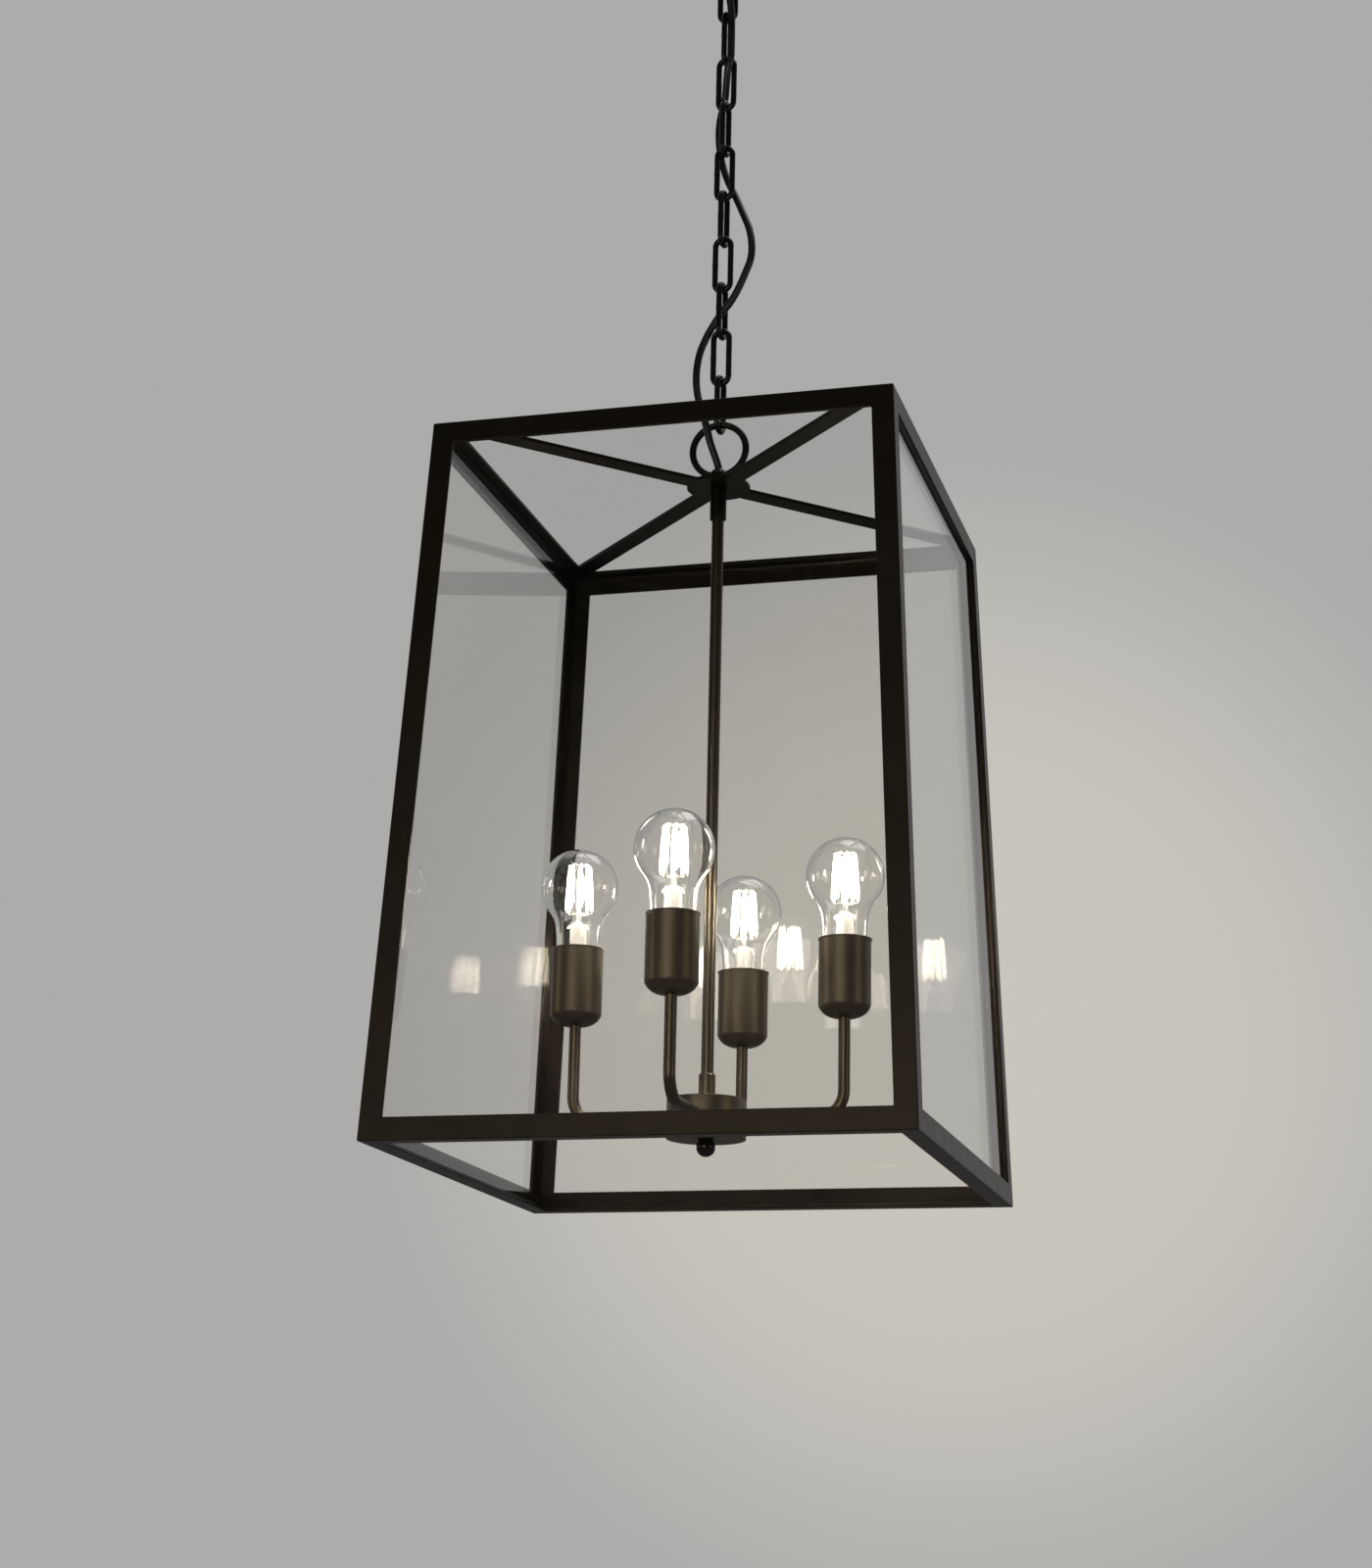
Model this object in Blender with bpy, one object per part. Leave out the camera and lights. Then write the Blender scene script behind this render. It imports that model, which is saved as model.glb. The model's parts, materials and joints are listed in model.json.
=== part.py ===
"""Hanging glass lantern: tapered angle-section frame, four clear panes, a four-lamp cluster on a
centre rod, a suspension ring, ten chain links, a flex cord and a ceiling rose.

Metres, +Z up. The origin is on the ceiling plane, at the centre of the bracket's top face, and
everything hangs below it. Heights named *_UP are measured up from the lantern's bottom plane.
"""
import math

import bmesh
import bpy
from mathutils import Matrix, Vector

MM = 0.001
GAP = 0.3 * MM

# Driving dimensions
BASE_W = 0.400
TOP_W = 0.354
BODY_H = 0.5486
DROP = 1.049
LEG = 16.8 * MM
LEG_FLAT = 14.8 * MM
LEG_T = 3.0 * MM
GLASS_T = 3.0 * MM
CROSS_T = 3.0 * MM
CROSS_BAR_W = 16.0 * MM
CROSS_DISC_R = 25.3 * MM
ROD_R = 4.75 * MM
ROD_WALL = 1.25 * MM
WIRE_WAY_R = 2.0 * MM
SPIGOT_R = 3.2 * MM

LINK_OUTER = 51.0 * MM
LINK_W = 18.2 * MM
LINK_WIRE = 4.8 * MM
LINK_COUNT = 10
CHAIN_TURN = math.radians(-7.25)
RING_R = 21.9 * MM
RING_WIRE = 5.6 * MM
RING_UP = 0.5821
CORD_D = 6.0 * MM

ROSE_R = 55.0 * MM
ROSE_H = 25.0 * MM
ROSE_WALL = 1.5 * MM
LOOP_R = 8.0 * MM
GRIP_OUT = 18.0 * MM

ARM_RADIUS = 105.5 * MM
ARM_R = 4.5 * MM
ARM_BEND = 19.5 * MM
ARM_UP = 42.5 * MM
CLUSTER_R = 30.2 * MM
CLUSTER_BOTTOM_UP = 27.6 * MM
CLUSTER_TOP_UP = 57.4 * MM
CLUSTER_WALL = 1.5 * MM
CUP_R = 19.8 * MM
CUP_LIP_R = 20.6 * MM
CUP_WALL = 1.2 * MM
CUP_BOTTOM_UP = 117.2 * MM
CUP_SHOULDER_UP = 125.4 * MM
CUP_TOP_UP = 177.0 * MM
BULB_R = 30.0 * MM
BULB_UP = 226.0 * MM
BULB_CAP_R = 13.2 * MM
BULB_CAP_UP = 138.5 * MM
BULB_CAP_H = 26.0 * MM
GLASS_WALL = 0.8 * MM

# Heights worked out from the driving dimensions
LINK_BEND = (LINK_W - LINK_WIRE) / 2
LINK_SPAN = LINK_OUTER - LINK_WIRE
LINK_PITCH = LINK_SPAN - LINK_WIRE - GAP
LOWEST_LINK_UP = RING_UP + RING_R - RING_WIRE / 2 - GAP - LINK_WIRE / 2
TOP_WIRE_UP = LOWEST_LINK_UP + LINK_SPAN + (LINK_COUNT - 1) * LINK_PITCH
LOOP_UP = TOP_WIRE_UP - LINK_WIRE - GAP
COLLAR_R = 6.55 * MM
LOWER_COLLAR_R = 6.35 * MM
COLLAR_BOTTOM_UP = 522.2 * MM
COLLAR_TOP_UP = BODY_H
LOWER_COLLAR_TOP_UP = 77.4 * MM
CAP_R = 8.15 * MM
CAP_BORE_R = 3.6 * MM
CAP_DOME_UP = 558.3 * MM

# The flex cord's route from the rose to the hub cap: X, Y (mm) and height above the lantern's
# bottom plane (mm)
CORD_ROUTE = [
    (-2.3, -17.9, 1031.0), (-2.3, -17.9, 1020.0), (-1.9, -17.4, 1008.0), (1.2, -13.0, 995.0),
    (4.1, -9.4, 982.0), (5.3, -7.5, 968.0), (5.5, -7.1, 952.0), (5.6, -7.3, 938.0),
    (5.3, -7.3, 929.5), (2.3, -5.3, 919.5), (0.0, 0.0, 909.0), (-2.3, 5.2, 898.5),
    (-5.4, 7.2, 888.0), (-6.8, 6.0, 876.0), (-7.0, 5.4, 865.0), (-6.3, 6.5, 853.0),
    (-4.6, 7.3, 842.0), (-1.5, 7.2, 831.0), (2.6, 6.6, 820.0), (7.4, 5.9, 810.0),
    (14.6, 3.0, 793.0), (21.7, -0.3, 775.0), (24.6, -2.4, 759.5), (24.1, -2.8, 747.0),
    (20.1, -2.5, 735.5), (13.5, -1.7, 720.9), (6.8, -0.9, 710.0), (0.0, 0.0, 702.5),
    (-6.8, 0.8, 693.0), (-13.2, 1.5, 682.0), (-18.2, 1.0, 668.5), (-20.2, -0.2, 653.5),
    (-19.6, -2.0, 639.0), (-16.8, -4.2, 625.0), (-11.6, -6.6, 609.0), (-8.9, -6.9, 599.0),
    (-6.4, -5.4, 588.0), (-3.9, -3.2, 579.5), (-1.3, -1.0, 571.0), (0.0, 0.0, 564.0),
    (0.0, 0.0, 554.5),
]
CORD_STEP = 12.0 * MM

LIGHT_PLACES = [(-1, 0), (0, -1), (0, 1), (1, 0)]

DARK_BRONZE = ((0.020, 0.017, 0.014), 0.38, 0.85)
SATIN_BRONZE = ((0.060, 0.048, 0.034), 0.34, 0.90)
CHAIN_BLACK = ((0.010, 0.010, 0.010), 0.35, 0.60)
CORD_BLACK = ((0.008, 0.008, 0.008), 0.32, 0.0)
CLEAR_GLASS = ((0.92, 0.94, 0.94), 0.02, 0.0)
CAP_SILVER = ((0.72, 0.71, 0.69), 0.28, 1.0)
HOLDER_WHITE = ((0.80, 0.79, 0.75), 0.30, 0.0)
FILAMENT = ((1.0, 0.93, 0.80), 0.40, 0.0)
ZINC = ((0.45, 0.45, 0.44), 0.40, 1.0)


def clear_scene():
    for obj in list(bpy.data.objects):
        bpy.data.objects.remove(obj, do_unlink=True)


def world_z(up):
    """Height above the lantern's bottom plane to Z below the ceiling."""
    return up - DROP


def half_width(up):
    """Half of the tapered frame's outer width at a height above its bottom plane."""
    return (BASE_W + (TOP_W - BASE_W) * up / BODY_H) / 2


def give_material(obj, look):
    color, roughness, metallic = look
    material = bpy.data.materials.new(obj.name)
    material.use_nodes = True
    shader = material.node_tree.nodes["Principled BSDF"]
    shader.inputs["Base Color"].default_value = (*color, 1.0)
    shader.inputs["Roughness"].default_value = roughness
    shader.inputs["Metallic"].default_value = metallic
    obj.data.materials.append(material)


def add_mesh(name, verts, faces, look, smooth=False):
    mesh = bpy.data.meshes.new(name)
    mesh.from_pydata([tuple(v) for v in verts], [], faces)
    work = bmesh.new()
    work.from_mesh(mesh)
    bmesh.ops.remove_doubles(work, verts=work.verts, dist=1e-7)
    bmesh.ops.recalc_face_normals(work, faces=work.faces)
    work.to_mesh(mesh)
    work.free()
    obj = bpy.data.objects.new(name, mesh)
    bpy.context.scene.collection.objects.link(obj)
    if smooth:
        mesh.shade_smooth()
        mesh.set_sharp_from_angle(angle=math.radians(35))
    give_material(obj, look)
    return obj


def turned(name, profile, look, sides=20, place=(0, 0)):
    """A turned piece: profile points (radius, height up) round the vertical line through place."""
    verts, faces, rings = [], [], []
    for radius, up in profile:
        if radius < 1e-9:
            rings.append([len(verts)])
            verts.append((place[0], place[1], world_z(up)))
            continue
        rings.append(list(range(len(verts), len(verts) + sides)))
        for k in range(sides):
            turn = 2 * math.pi * k / sides
            x, y = radius * math.cos(turn), radius * math.sin(turn)
            verts.append((place[0] + x, place[1] + y, world_z(up)))
    closed = all(len(ring) > 1 for ring in rings)
    pairs = list(zip(rings, rings[1:] + (rings[:1] if closed else [])))
    if not closed:
        pairs = pairs[: len(rings) - 1]
    for low, high in pairs:
        for k in range(sides):
            n = (k + 1) % sides
            if len(low) == 1:
                faces.append((low[0], high[k], high[n]))
            elif len(high) == 1:
                faces.append((low[k], low[n], high[0]))
            else:
                faces.append((low[k], low[n], high[n], high[k]))
    return add_mesh(name, verts, faces, look, smooth=True)


def tube(name, points, radius, look, closed=False, resolution=2):
    """A round bar or wire along points, capped unless it is closed."""
    data = bpy.data.curves.new(name, "CURVE")
    data.dimensions = "3D"
    data.bevel_depth = radius
    data.bevel_resolution = resolution
    data.use_fill_caps = not closed
    spline = data.splines.new("POLY")
    spline.points.add(len(points) - 1)
    for point, place in zip(spline.points, points):
        point.co = (*place, 1.0)
    spline.use_cyclic_u = closed
    obj = bpy.data.objects.new(name, data)
    bpy.context.scene.collection.objects.link(obj)
    give_material(obj, look)
    return obj


def cut(obj, cutter):
    """Cut cutter out of obj, with the cutter kept hidden beside it."""
    cutter.hide_render = True
    cutter.display_type = "WIRE"
    change = obj.modifiers.new(cutter.name, "BOOLEAN")
    change.operation = "DIFFERENCE"
    change.solver = "EXACT"
    change.object = cutter


def bar_cutter(name, start, end, radius, sides=16):
    """A round cutter from start to end."""
    start, end = Vector(start), Vector(end)
    work = bmesh.new()
    bmesh.ops.create_cone(
        work, cap_ends=True, segments=sides, radius1=radius, radius2=radius, depth=(end - start).length
    )
    turn = (end - start).to_track_quat("Z", "Y").to_matrix().to_4x4()
    bmesh.ops.transform(work, matrix=Matrix.Translation((start + end) / 2) @ turn, verts=work.verts)
    mesh = bpy.data.meshes.new(name)
    work.to_mesh(mesh)
    work.free()
    obj = bpy.data.objects.new(name, mesh)
    bpy.context.scene.collection.objects.link(obj)
    return obj


def square_rings(name, section, look):
    """A mitred square frame: section points (half width, height up) swept round four corners."""
    verts, faces = [], []
    for half, up in section:
        for sx, sy in ((-1, -1), (1, -1), (1, 1), (-1, 1)):
            verts.append((sx * half, sy * half, world_z(up)))
    count = len(section)
    for k in range(count):
        for c in range(4):
            a, b = k * 4 + c, k * 4 + (c + 1) % 4
            n = ((k + 1) % count) * 4
            faces.append((a, b, n + (c + 1) % 4, n + c))
    return add_mesh(name, verts, faces, look)


def prism(name, low, high, look):
    """A solid between two outlines with the same number of points."""
    count = len(low)
    faces = [tuple(range(count)), tuple(range(count, 2 * count))]
    for k in range(count):
        n = (k + 1) % count
        faces.append((k, n, count + n, count + k))
    return add_mesh(name, list(low) + list(high), faces, look)


def box(name, low, high, look):
    (x0, y0, z0), (x1, y1, z1) = low, high
    outline = [(x0, y0), (x1, y0), (x1, y1), (x0, y1)]
    return prism(name, [(*p, z0) for p in outline], [(*p, z1) for p in outline], look)


def chain_frame(a, b, up):
    """A point of the chain: a along its face-on links' width, b across them, up above the bottom."""
    c, s = math.cos(CHAIN_TURN), math.sin(CHAIN_TURN)
    return (a * c - b * s, a * s + b * c, world_z(up))


def smooth_route(points, step):
    """Points at even steps along a Catmull-Rom curve through points."""
    places = [Vector((x * MM, y * MM, world_z(up * MM))) for x, y, up in points]
    ends = [2 * places[0] - places[1]] + places + [2 * places[-1] - places[-2]]
    fine = []
    for p0, p1, p2, p3 in zip(ends, ends[1:], ends[2:], ends[3:]):
        for k in range(12):
            t = k / 12
            fine.append(
                0.5 * (2 * p1 + (p2 - p0) * t + (2 * p0 - 5 * p1 + 4 * p2 - p3) * t**2
                       + (3 * p1 - p0 - 3 * p2 + p3) * t**3)
            )
    fine.append(places[-1])
    along = [0.0]
    for a, b in zip(fine, fine[1:]):
        along.append(along[-1] + (b - a).length)
    count = round(along[-1] / step)
    even, k = [], 0
    for n in range(count + 1):
        target = along[-1] * n / count
        while k < len(along) - 2 and along[k + 1] < target:
            k += 1
        share = (target - along[k]) / (along[k + 1] - along[k])
        even.append(tuple(fine[k].lerp(fine[k + 1], share)))
    return even


def build_rose():
    floor_up, top_up = DROP - ROSE_H, DROP - 2 * GAP
    rim = ROSE_R - ROSE_WALL
    rose = turned(
        "ceiling_rose",
        [(0, floor_up), (ROSE_R - 3 * MM, floor_up), (ROSE_R, floor_up + 3 * MM), (ROSE_R, top_up),
         (rim, top_up), (rim, floor_up + 3 * MM), (rim - 2 * MM, floor_up + ROSE_WALL),
         (0, floor_up + ROSE_WALL)],
        DARK_BRONZE, sides=32,
    )
    low, high = floor_up - 5 * MM, floor_up + 5 * MM
    for side in (-1, 1):
        reach = side * LOOP_R
        cut(rose, bar_cutter(f"loop_hole_{side + 1}", chain_frame(0, reach, low),
                             chain_frame(0, reach, high), LINK_WIRE / 2 + 0.5 * MM))
    cut(rose, bar_cutter("cord_hole", chain_frame(0, -GRIP_OUT, low), chain_frame(0, -GRIP_OUT, high),
                         4.8 * MM))
    box("rose_bracket", (-45 * MM, -10 * MM, -3 * MM), (45 * MM, 10 * MM, 0), ZINC)
    legs_up = DROP - 3 * MM - GAP
    bend_up = LOOP_UP + LOOP_R
    route = [chain_frame(0, -LOOP_R, legs_up)]
    for k in range(13):
        turn = math.pi * k / 12
        route.append(chain_frame(0, -LOOP_R * math.cos(turn), bend_up - LOOP_R * math.sin(turn)))
    route.append(chain_frame(0, LOOP_R, legs_up))
    tube("rose_loop", route, LINK_WIRE / 2, CHAIN_BLACK)
    place = chain_frame(0, -GRIP_OUT, 0)[:2]
    bore = CORD_D / 2 + GAP
    turned(
        "cord_grip",
        [(bore, floor_up - 6.5 * MM), (4.6 * MM, floor_up - 6.5 * MM), (6.2 * MM, floor_up - 4 * MM),
         (6.2 * MM, floor_up - GAP), (4.4 * MM, floor_up - GAP), (4.4 * MM, floor_up + 4 * MM),
         (bore, floor_up + 4 * MM)],
        CORD_BLACK, sides=16, place=place,
    )
    box("rose_terminal_block", (-15 * MM, 18 * MM, -19 * MM), (15 * MM, 30 * MM, -4.5 * MM), HOLDER_WHITE)


def build_chain():
    for number in range(1, LINK_COUNT + 1):
        top_up = TOP_WIRE_UP - (number - 1) * LINK_PITCH
        face_on = number % 2 == 1
        points = []
        for turn, centre_up in ((0, top_up - LINK_BEND), (math.pi, top_up - LINK_SPAN + LINK_BEND)):
            for k in range(9):
                angle = turn + math.pi * k / 8
                across, up = LINK_BEND * math.cos(angle), centre_up + LINK_BEND * math.sin(angle)
                points.append(chain_frame(across, 0, up) if face_on else chain_frame(0, across, up))
        # Each link's own origin is on the wire that it hangs from
        hinge = Vector((0, 0, world_z(top_up - LINK_WIRE - GAP)))
        link = tube(f"chain_link_{number:02d}", [tuple(Vector(p) - hinge) for p in points],
                    LINK_WIRE / 2, CHAIN_BLACK, closed=True)
        link.location = hinge


def build_hub():
    sweep = math.asin(4.8 * MM / RING_R)
    points = []
    for k in range(29):
        turn = -math.pi / 2 + sweep + (2 * math.pi - 2 * sweep) * k / 28
        points.append((RING_R * math.cos(turn), 0, world_z(RING_UP + RING_R * math.sin(turn))))
    tube("suspension_ring", points, RING_WIRE / 2, CHAIN_BLACK)

    foot = BODY_H + CROSS_T + 2 * GAP
    dome = [(CAP_BORE_R, foot), (CAP_R, foot)]
    last = math.acos((CAP_BORE_R + 0.4 * MM) / CAP_R)
    for k in range(6):
        turn = last * k / 5
        dome.append((CAP_R * math.cos(turn), CAP_DOME_UP + CAP_R * math.sin(turn)))
    dome.append((CAP_BORE_R, CAP_DOME_UP + CAP_R * math.sin(last)))
    cap = turned("hub_cap", dome, DARK_BRONZE, sides=24)
    side_up = 561.0 * MM
    cut(cap, bar_cutter("ring_hole", (-12 * MM, 0, world_z(side_up)), (12 * MM, 0, world_z(side_up)),
                        3.5 * MM))

    seat = ROD_R + GAP
    turned(
        "rod_collar_top",
        [(WIRE_WAY_R, BODY_H + 4 * MM), (WIRE_WAY_R, 538 * MM), (seat, 538 * MM),
         (seat, COLLAR_BOTTOM_UP), (COLLAR_R - 1 * MM, COLLAR_BOTTOM_UP),
         (COLLAR_R, COLLAR_BOTTOM_UP + 1 * MM), (COLLAR_R, COLLAR_TOP_UP), (SPIGOT_R, COLLAR_TOP_UP),
         (SPIGOT_R, BODY_H + 4 * MM)],
        DARK_BRONZE, sides=20,
    )
    rod_low = CLUSTER_TOP_UP + 1.5 * MM
    bore = ROD_R - ROD_WALL
    turned("centre_rod", [(bore, rod_low), (ROD_R, rod_low), (ROD_R, 537.7 * MM), (bore, 537.7 * MM)],
           DARK_BRONZE, sides=20)
    base = CLUSTER_TOP_UP + GAP
    turned(
        "rod_collar_bottom",
        [(bore, base), (LOWER_COLLAR_R, base), (LOWER_COLLAR_R, LOWER_COLLAR_TOP_UP - 1 * MM),
         (LOWER_COLLAR_R - 1 * MM, LOWER_COLLAR_TOP_UP), (seat, LOWER_COLLAR_TOP_UP),
         (seat, rod_low - GAP), (bore, rod_low - GAP)],
        DARK_BRONZE, sides=20,
    )


def build_cross():
    """Two flat bars, crossed and joined by a round disc, that lie on the top frame."""
    edge = (half_width(BODY_H) - 10 * MM) * math.sqrt(2)
    half = CROSS_BAR_W / 2
    spread = math.asin(half / CROSS_DISC_R)
    outline = []
    for k in range(4):
        turn = math.pi / 4 + k * math.pi / 2
        c, s = math.cos(turn), math.sin(turn)
        for along, side in ((edge - half, -half), (edge, 0), (edge - half, half)):
            outline.append((along * c - side * s, along * s + side * c))
        for n in range(7):
            angle = turn + spread + (math.pi / 2 - 2 * spread) * n / 6
            outline.append((CROSS_DISC_R * math.cos(angle), CROSS_DISC_R * math.sin(angle)))
    low, high = world_z(BODY_H + GAP), world_z(BODY_H + GAP + CROSS_T)
    cross = prism("top_cross", [(*p, low) for p in outline], [(*p, high) for p in outline], DARK_BRONZE)
    cut(cross, bar_cutter("rod_hole", (0, 0, low - 5 * MM), (0, 0, high + 5 * MM), SPIGOT_R + 2 * GAP))


def build_frame():
    bottom, top = half_width, half_width(BODY_H)
    square_rings(
        "bottom_frame",
        [(bottom(0), 0), (bottom(LEG), LEG), (bottom(LEG) - LEG_T, LEG), (bottom(LEG_T) - LEG_T, LEG_T),
         (bottom(0) - LEG_FLAT, LEG_T), (bottom(0) - LEG_FLAT, 0)],
        DARK_BRONZE,
    )
    low = BODY_H - LEG
    square_rings(
        "top_frame",
        [(top, BODY_H), (top - LEG_FLAT, BODY_H), (top - LEG_FLAT, BODY_H - LEG_T),
         (half_width(BODY_H - LEG_T) - LEG_T, BODY_H - LEG_T), (half_width(low) - LEG_T, low),
         (half_width(low), low)],
        DARK_BRONZE,
    )
    names = {(-1, -1): "front_left", (1, -1): "front_right", (1, 1): "back_right", (-1, 1): "back_left"}
    for (sx, sy), name in names.items():
        ends = []
        for up in (LEG + GAP, BODY_H - LEG - GAP):
            h = half_width(up)
            section = [(h, h), (h - LEG, h), (h - LEG, h - LEG_T), (h - LEG_T, h - LEG_T),
                       (h - LEG_T, h - LEG), (h, h - LEG)]
            ends.append([(sx * x, sy * y, world_z(up)) for x, y in section])
        prism(f"post_{name}", ends[0], ends[1], DARK_BRONZE)


def build_glass():
    inset, low, high = LEG_T + GAP, LEG_T + 0.5 * MM, BODY_H - LEG_T - 0.5 * MM
    sides = {"front": (0, -1), "right": (1, 0), "back": (0, 1), "left": (-1, 0)}
    for name, (nx, ny) in sides.items():
        ends = []
        for up in (low, high):
            outer = half_width(up) - inset
            half = outer - GLASS_T - 0.5 * MM
            corners = [(-half, outer), (half, outer), (half, outer - GLASS_T), (-half, outer - GLASS_T)]
            ends.append([(s * -ny + d * nx, s * nx + d * ny, world_z(up)) for s, d in corners])
        prism(f"glass_pane_{name}", ends[0], ends[1], CLEAR_GLASS)


def build_cluster():
    lid_up = CLUSTER_BOTTOM_UP + CLUSTER_WALL
    inner = CLUSTER_R - CLUSTER_WALL
    body = turned(
        "cluster_body",
        [(WIRE_WAY_R + 1 * MM, CLUSTER_TOP_UP), (WIRE_WAY_R + 1 * MM, CLUSTER_TOP_UP - CLUSTER_WALL),
         (inner, CLUSTER_TOP_UP - CLUSTER_WALL), (inner, lid_up + GAP), (CLUSTER_R, lid_up + GAP),
         (CLUSTER_R, CLUSTER_TOP_UP)],
        SATIN_BRONZE, sides=32,
    )
    for n, (dx, dy) in enumerate(LIGHT_PLACES, 1):
        cut(body, bar_cutter(f"arm_hole_{n}", (dx * 20 * MM, dy * 20 * MM, world_z(ARM_UP)),
                             (dx * 36 * MM, dy * 36 * MM, world_z(ARM_UP)), ARM_R + GAP))
    stud = 2.2 * MM
    turned("cluster_lid",
           [(stud + GAP, CLUSTER_BOTTOM_UP), (CLUSTER_R, CLUSTER_BOTTOM_UP), (CLUSTER_R, lid_up),
            (stud + GAP, lid_up)],
           SATIN_BRONZE, sides=32)
    ball_up, ball = 21.6 * MM, 7.3 * MM
    profile = [(0, ball_up - ball)]
    for k in range(1, 6):
        turn = -math.pi / 2 + 2.15 * k / 5
        profile.append((ball * math.cos(turn), ball_up + ball * math.sin(turn)))
    profile += [(6.1 * MM, CLUSTER_BOTTOM_UP - GAP), (stud, CLUSTER_BOTTOM_UP - GAP),
                (stud, 40 * MM), (0, 40 * MM)]
    turned("finial", profile, DARK_BRONZE, sides=20)
    z0 = world_z(lid_up + GAP)
    box("cluster_terminal_block", (5 * MM, 5 * MM, z0), (19 * MM, 16 * MM, z0 + 11 * MM), HOLDER_WHITE)


def build_arm(n, dx, dy):
    """A bent tube from inside the cluster body out and up to the cup's floor."""
    start = CLUSTER_R - CLUSTER_WALL - 1 * MM
    points = [(dx * start, dy * start, world_z(ARM_UP))]
    centre = ARM_RADIUS - ARM_BEND
    for k in range(9):
        turn = math.pi / 2 * k / 8
        reach, up = centre + ARM_BEND * math.sin(turn), ARM_UP + ARM_BEND * (1 - math.cos(turn))
        points.append((dx * reach, dy * reach, world_z(up)))
    points.append((dx * ARM_RADIUS, dy * ARM_RADIUS, world_z(CUP_BOTTOM_UP - GAP)))
    tube(f"arm_{n}", points, ARM_R, SATIN_BRONZE)


def build_lamp(n, dx, dy):
    """One lampholder cup, its lampholder and its bulb, on the vertical part of an arm."""
    place = (dx * ARM_RADIUS, dy * ARM_RADIUS)
    floor = 9.3 * MM
    inner = CUP_R - CUP_WALL
    turned(
        f"lamp_cup_{n}",
        [(3 * MM, CUP_BOTTOM_UP), (floor, CUP_BOTTOM_UP), (14.5 * MM, CUP_BOTTOM_UP + 2.3 * MM),
         (18.4 * MM, CUP_SHOULDER_UP - 1.6 * MM), (CUP_R, CUP_SHOULDER_UP + 1.0 * MM),
         (CUP_R, CUP_TOP_UP - 1.6 * MM), (CUP_LIP_R, CUP_TOP_UP - 0.6 * MM), (CUP_LIP_R, CUP_TOP_UP),
         (inner, CUP_TOP_UP), (inner, CUP_SHOULDER_UP + 1.0 * MM),
         (13.6 * MM, CUP_BOTTOM_UP + 3.6 * MM), (floor, CUP_BOTTOM_UP + CUP_WALL),
         (3 * MM, CUP_BOTTOM_UP + CUP_WALL)],
        SATIN_BRONZE, sides=20, place=place,
    )
    seat = BULB_CAP_UP - GAP
    bore = BULB_CAP_R + GAP
    cap_top = BULB_CAP_UP + BULB_CAP_H
    holder_top = cap_top - 1 * MM
    turned(
        f"lampholder_{n}",
        [(0, CUP_SHOULDER_UP + 1 * MM), (17.5 * MM, CUP_SHOULDER_UP + 1 * MM), (17.5 * MM, holder_top),
         (bore, holder_top), (bore, seat), (0, seat)],
        HOLDER_WHITE, sides=18, place=place,
    )
    turned(
        f"bulb_cap_{n}",
        [(0, BULB_CAP_UP), (5 * MM, BULB_CAP_UP), (11 * MM, BULB_CAP_UP + 4 * MM),
         (BULB_CAP_R, BULB_CAP_UP + 5.5 * MM), (BULB_CAP_R, cap_top), (0, cap_top)],
        CAP_SILVER, sides=18, place=place,
    )
    start_up = cap_top + GAP
    outer = [(13.4 * MM, start_up), (15.2 * MM, 172 * MM), (16.6 * MM, 178 * MM), (17.6 * MM, 189 * MM),
             (19.8 * MM, 200.3 * MM)]
    inside = [(r - GLASS_WALL, up) for r, up in reversed(outer)]
    low_turn, steps, wall = math.radians(-37), 7, BULB_R - GLASS_WALL
    for k in range(steps):
        turn = low_turn + (math.pi / 2 - low_turn) * k / steps
        outer.append((BULB_R * math.cos(turn), BULB_UP + BULB_R * math.sin(turn)))
        inside.insert(0, (wall * math.cos(turn), BULB_UP + wall * math.sin(turn)))
    profile = outer + [(0, BULB_UP + BULB_R), (0, BULB_UP + wall)] + inside
    bulb_shell(f"bulb_glass_{n}", profile, place)
    turned(
        f"bulb_filament_{n}",
        [(0, start_up), (12 * MM, start_up), (7 * MM, 178 * MM), (6.5 * MM, 197 * MM), (3 * MM, 201 * MM),
         (3 * MM, 204 * MM), (11.5 * MM, 206.5 * MM), (9 * MM, 244 * MM), (0, 245.5 * MM)],
        FILAMENT, sides=10, place=place,
    )


def bulb_shell(name, profile, place, sides=16):
    """The blown envelope: outside from the neck to the crown, inside back down, open at the neck."""
    verts, faces, rings = [], [], []
    for radius, up in profile:
        count = sides if radius > 0 else 1
        rings.append(list(range(len(verts), len(verts) + count)))
        for k in range(count):
            turn = 2 * math.pi * k / sides
            x, y = radius * math.cos(turn), radius * math.sin(turn)
            verts.append((place[0] + x, place[1] + y, world_z(up)))
    for low, high in zip(rings, rings[1:] + rings[:1]):
        if len(low) == 1 and len(high) == 1:
            continue
        for k in range(sides):
            n = (k + 1) % sides
            if len(low) == 1:
                faces.append((low[0], high[n], high[k]))
            elif len(high) == 1:
                faces.append((low[k], low[n], high[0]))
            else:
                faces.append((low[k], low[n], high[n], high[k]))
    add_mesh(name, verts, faces, CLEAR_GLASS, smooth=True)


def main():
    clear_scene()
    build_rose()
    build_chain()
    build_hub()
    build_cross()
    build_frame()
    build_glass()
    build_cluster()
    for n, (dx, dy) in enumerate(LIGHT_PLACES, 1):
        build_arm(n, dx, dy)
        build_lamp(n, dx, dy)
    tube("flex_cord", smooth_route(CORD_ROUTE, CORD_STEP), CORD_D / 2, CORD_BLACK)


main()
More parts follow.
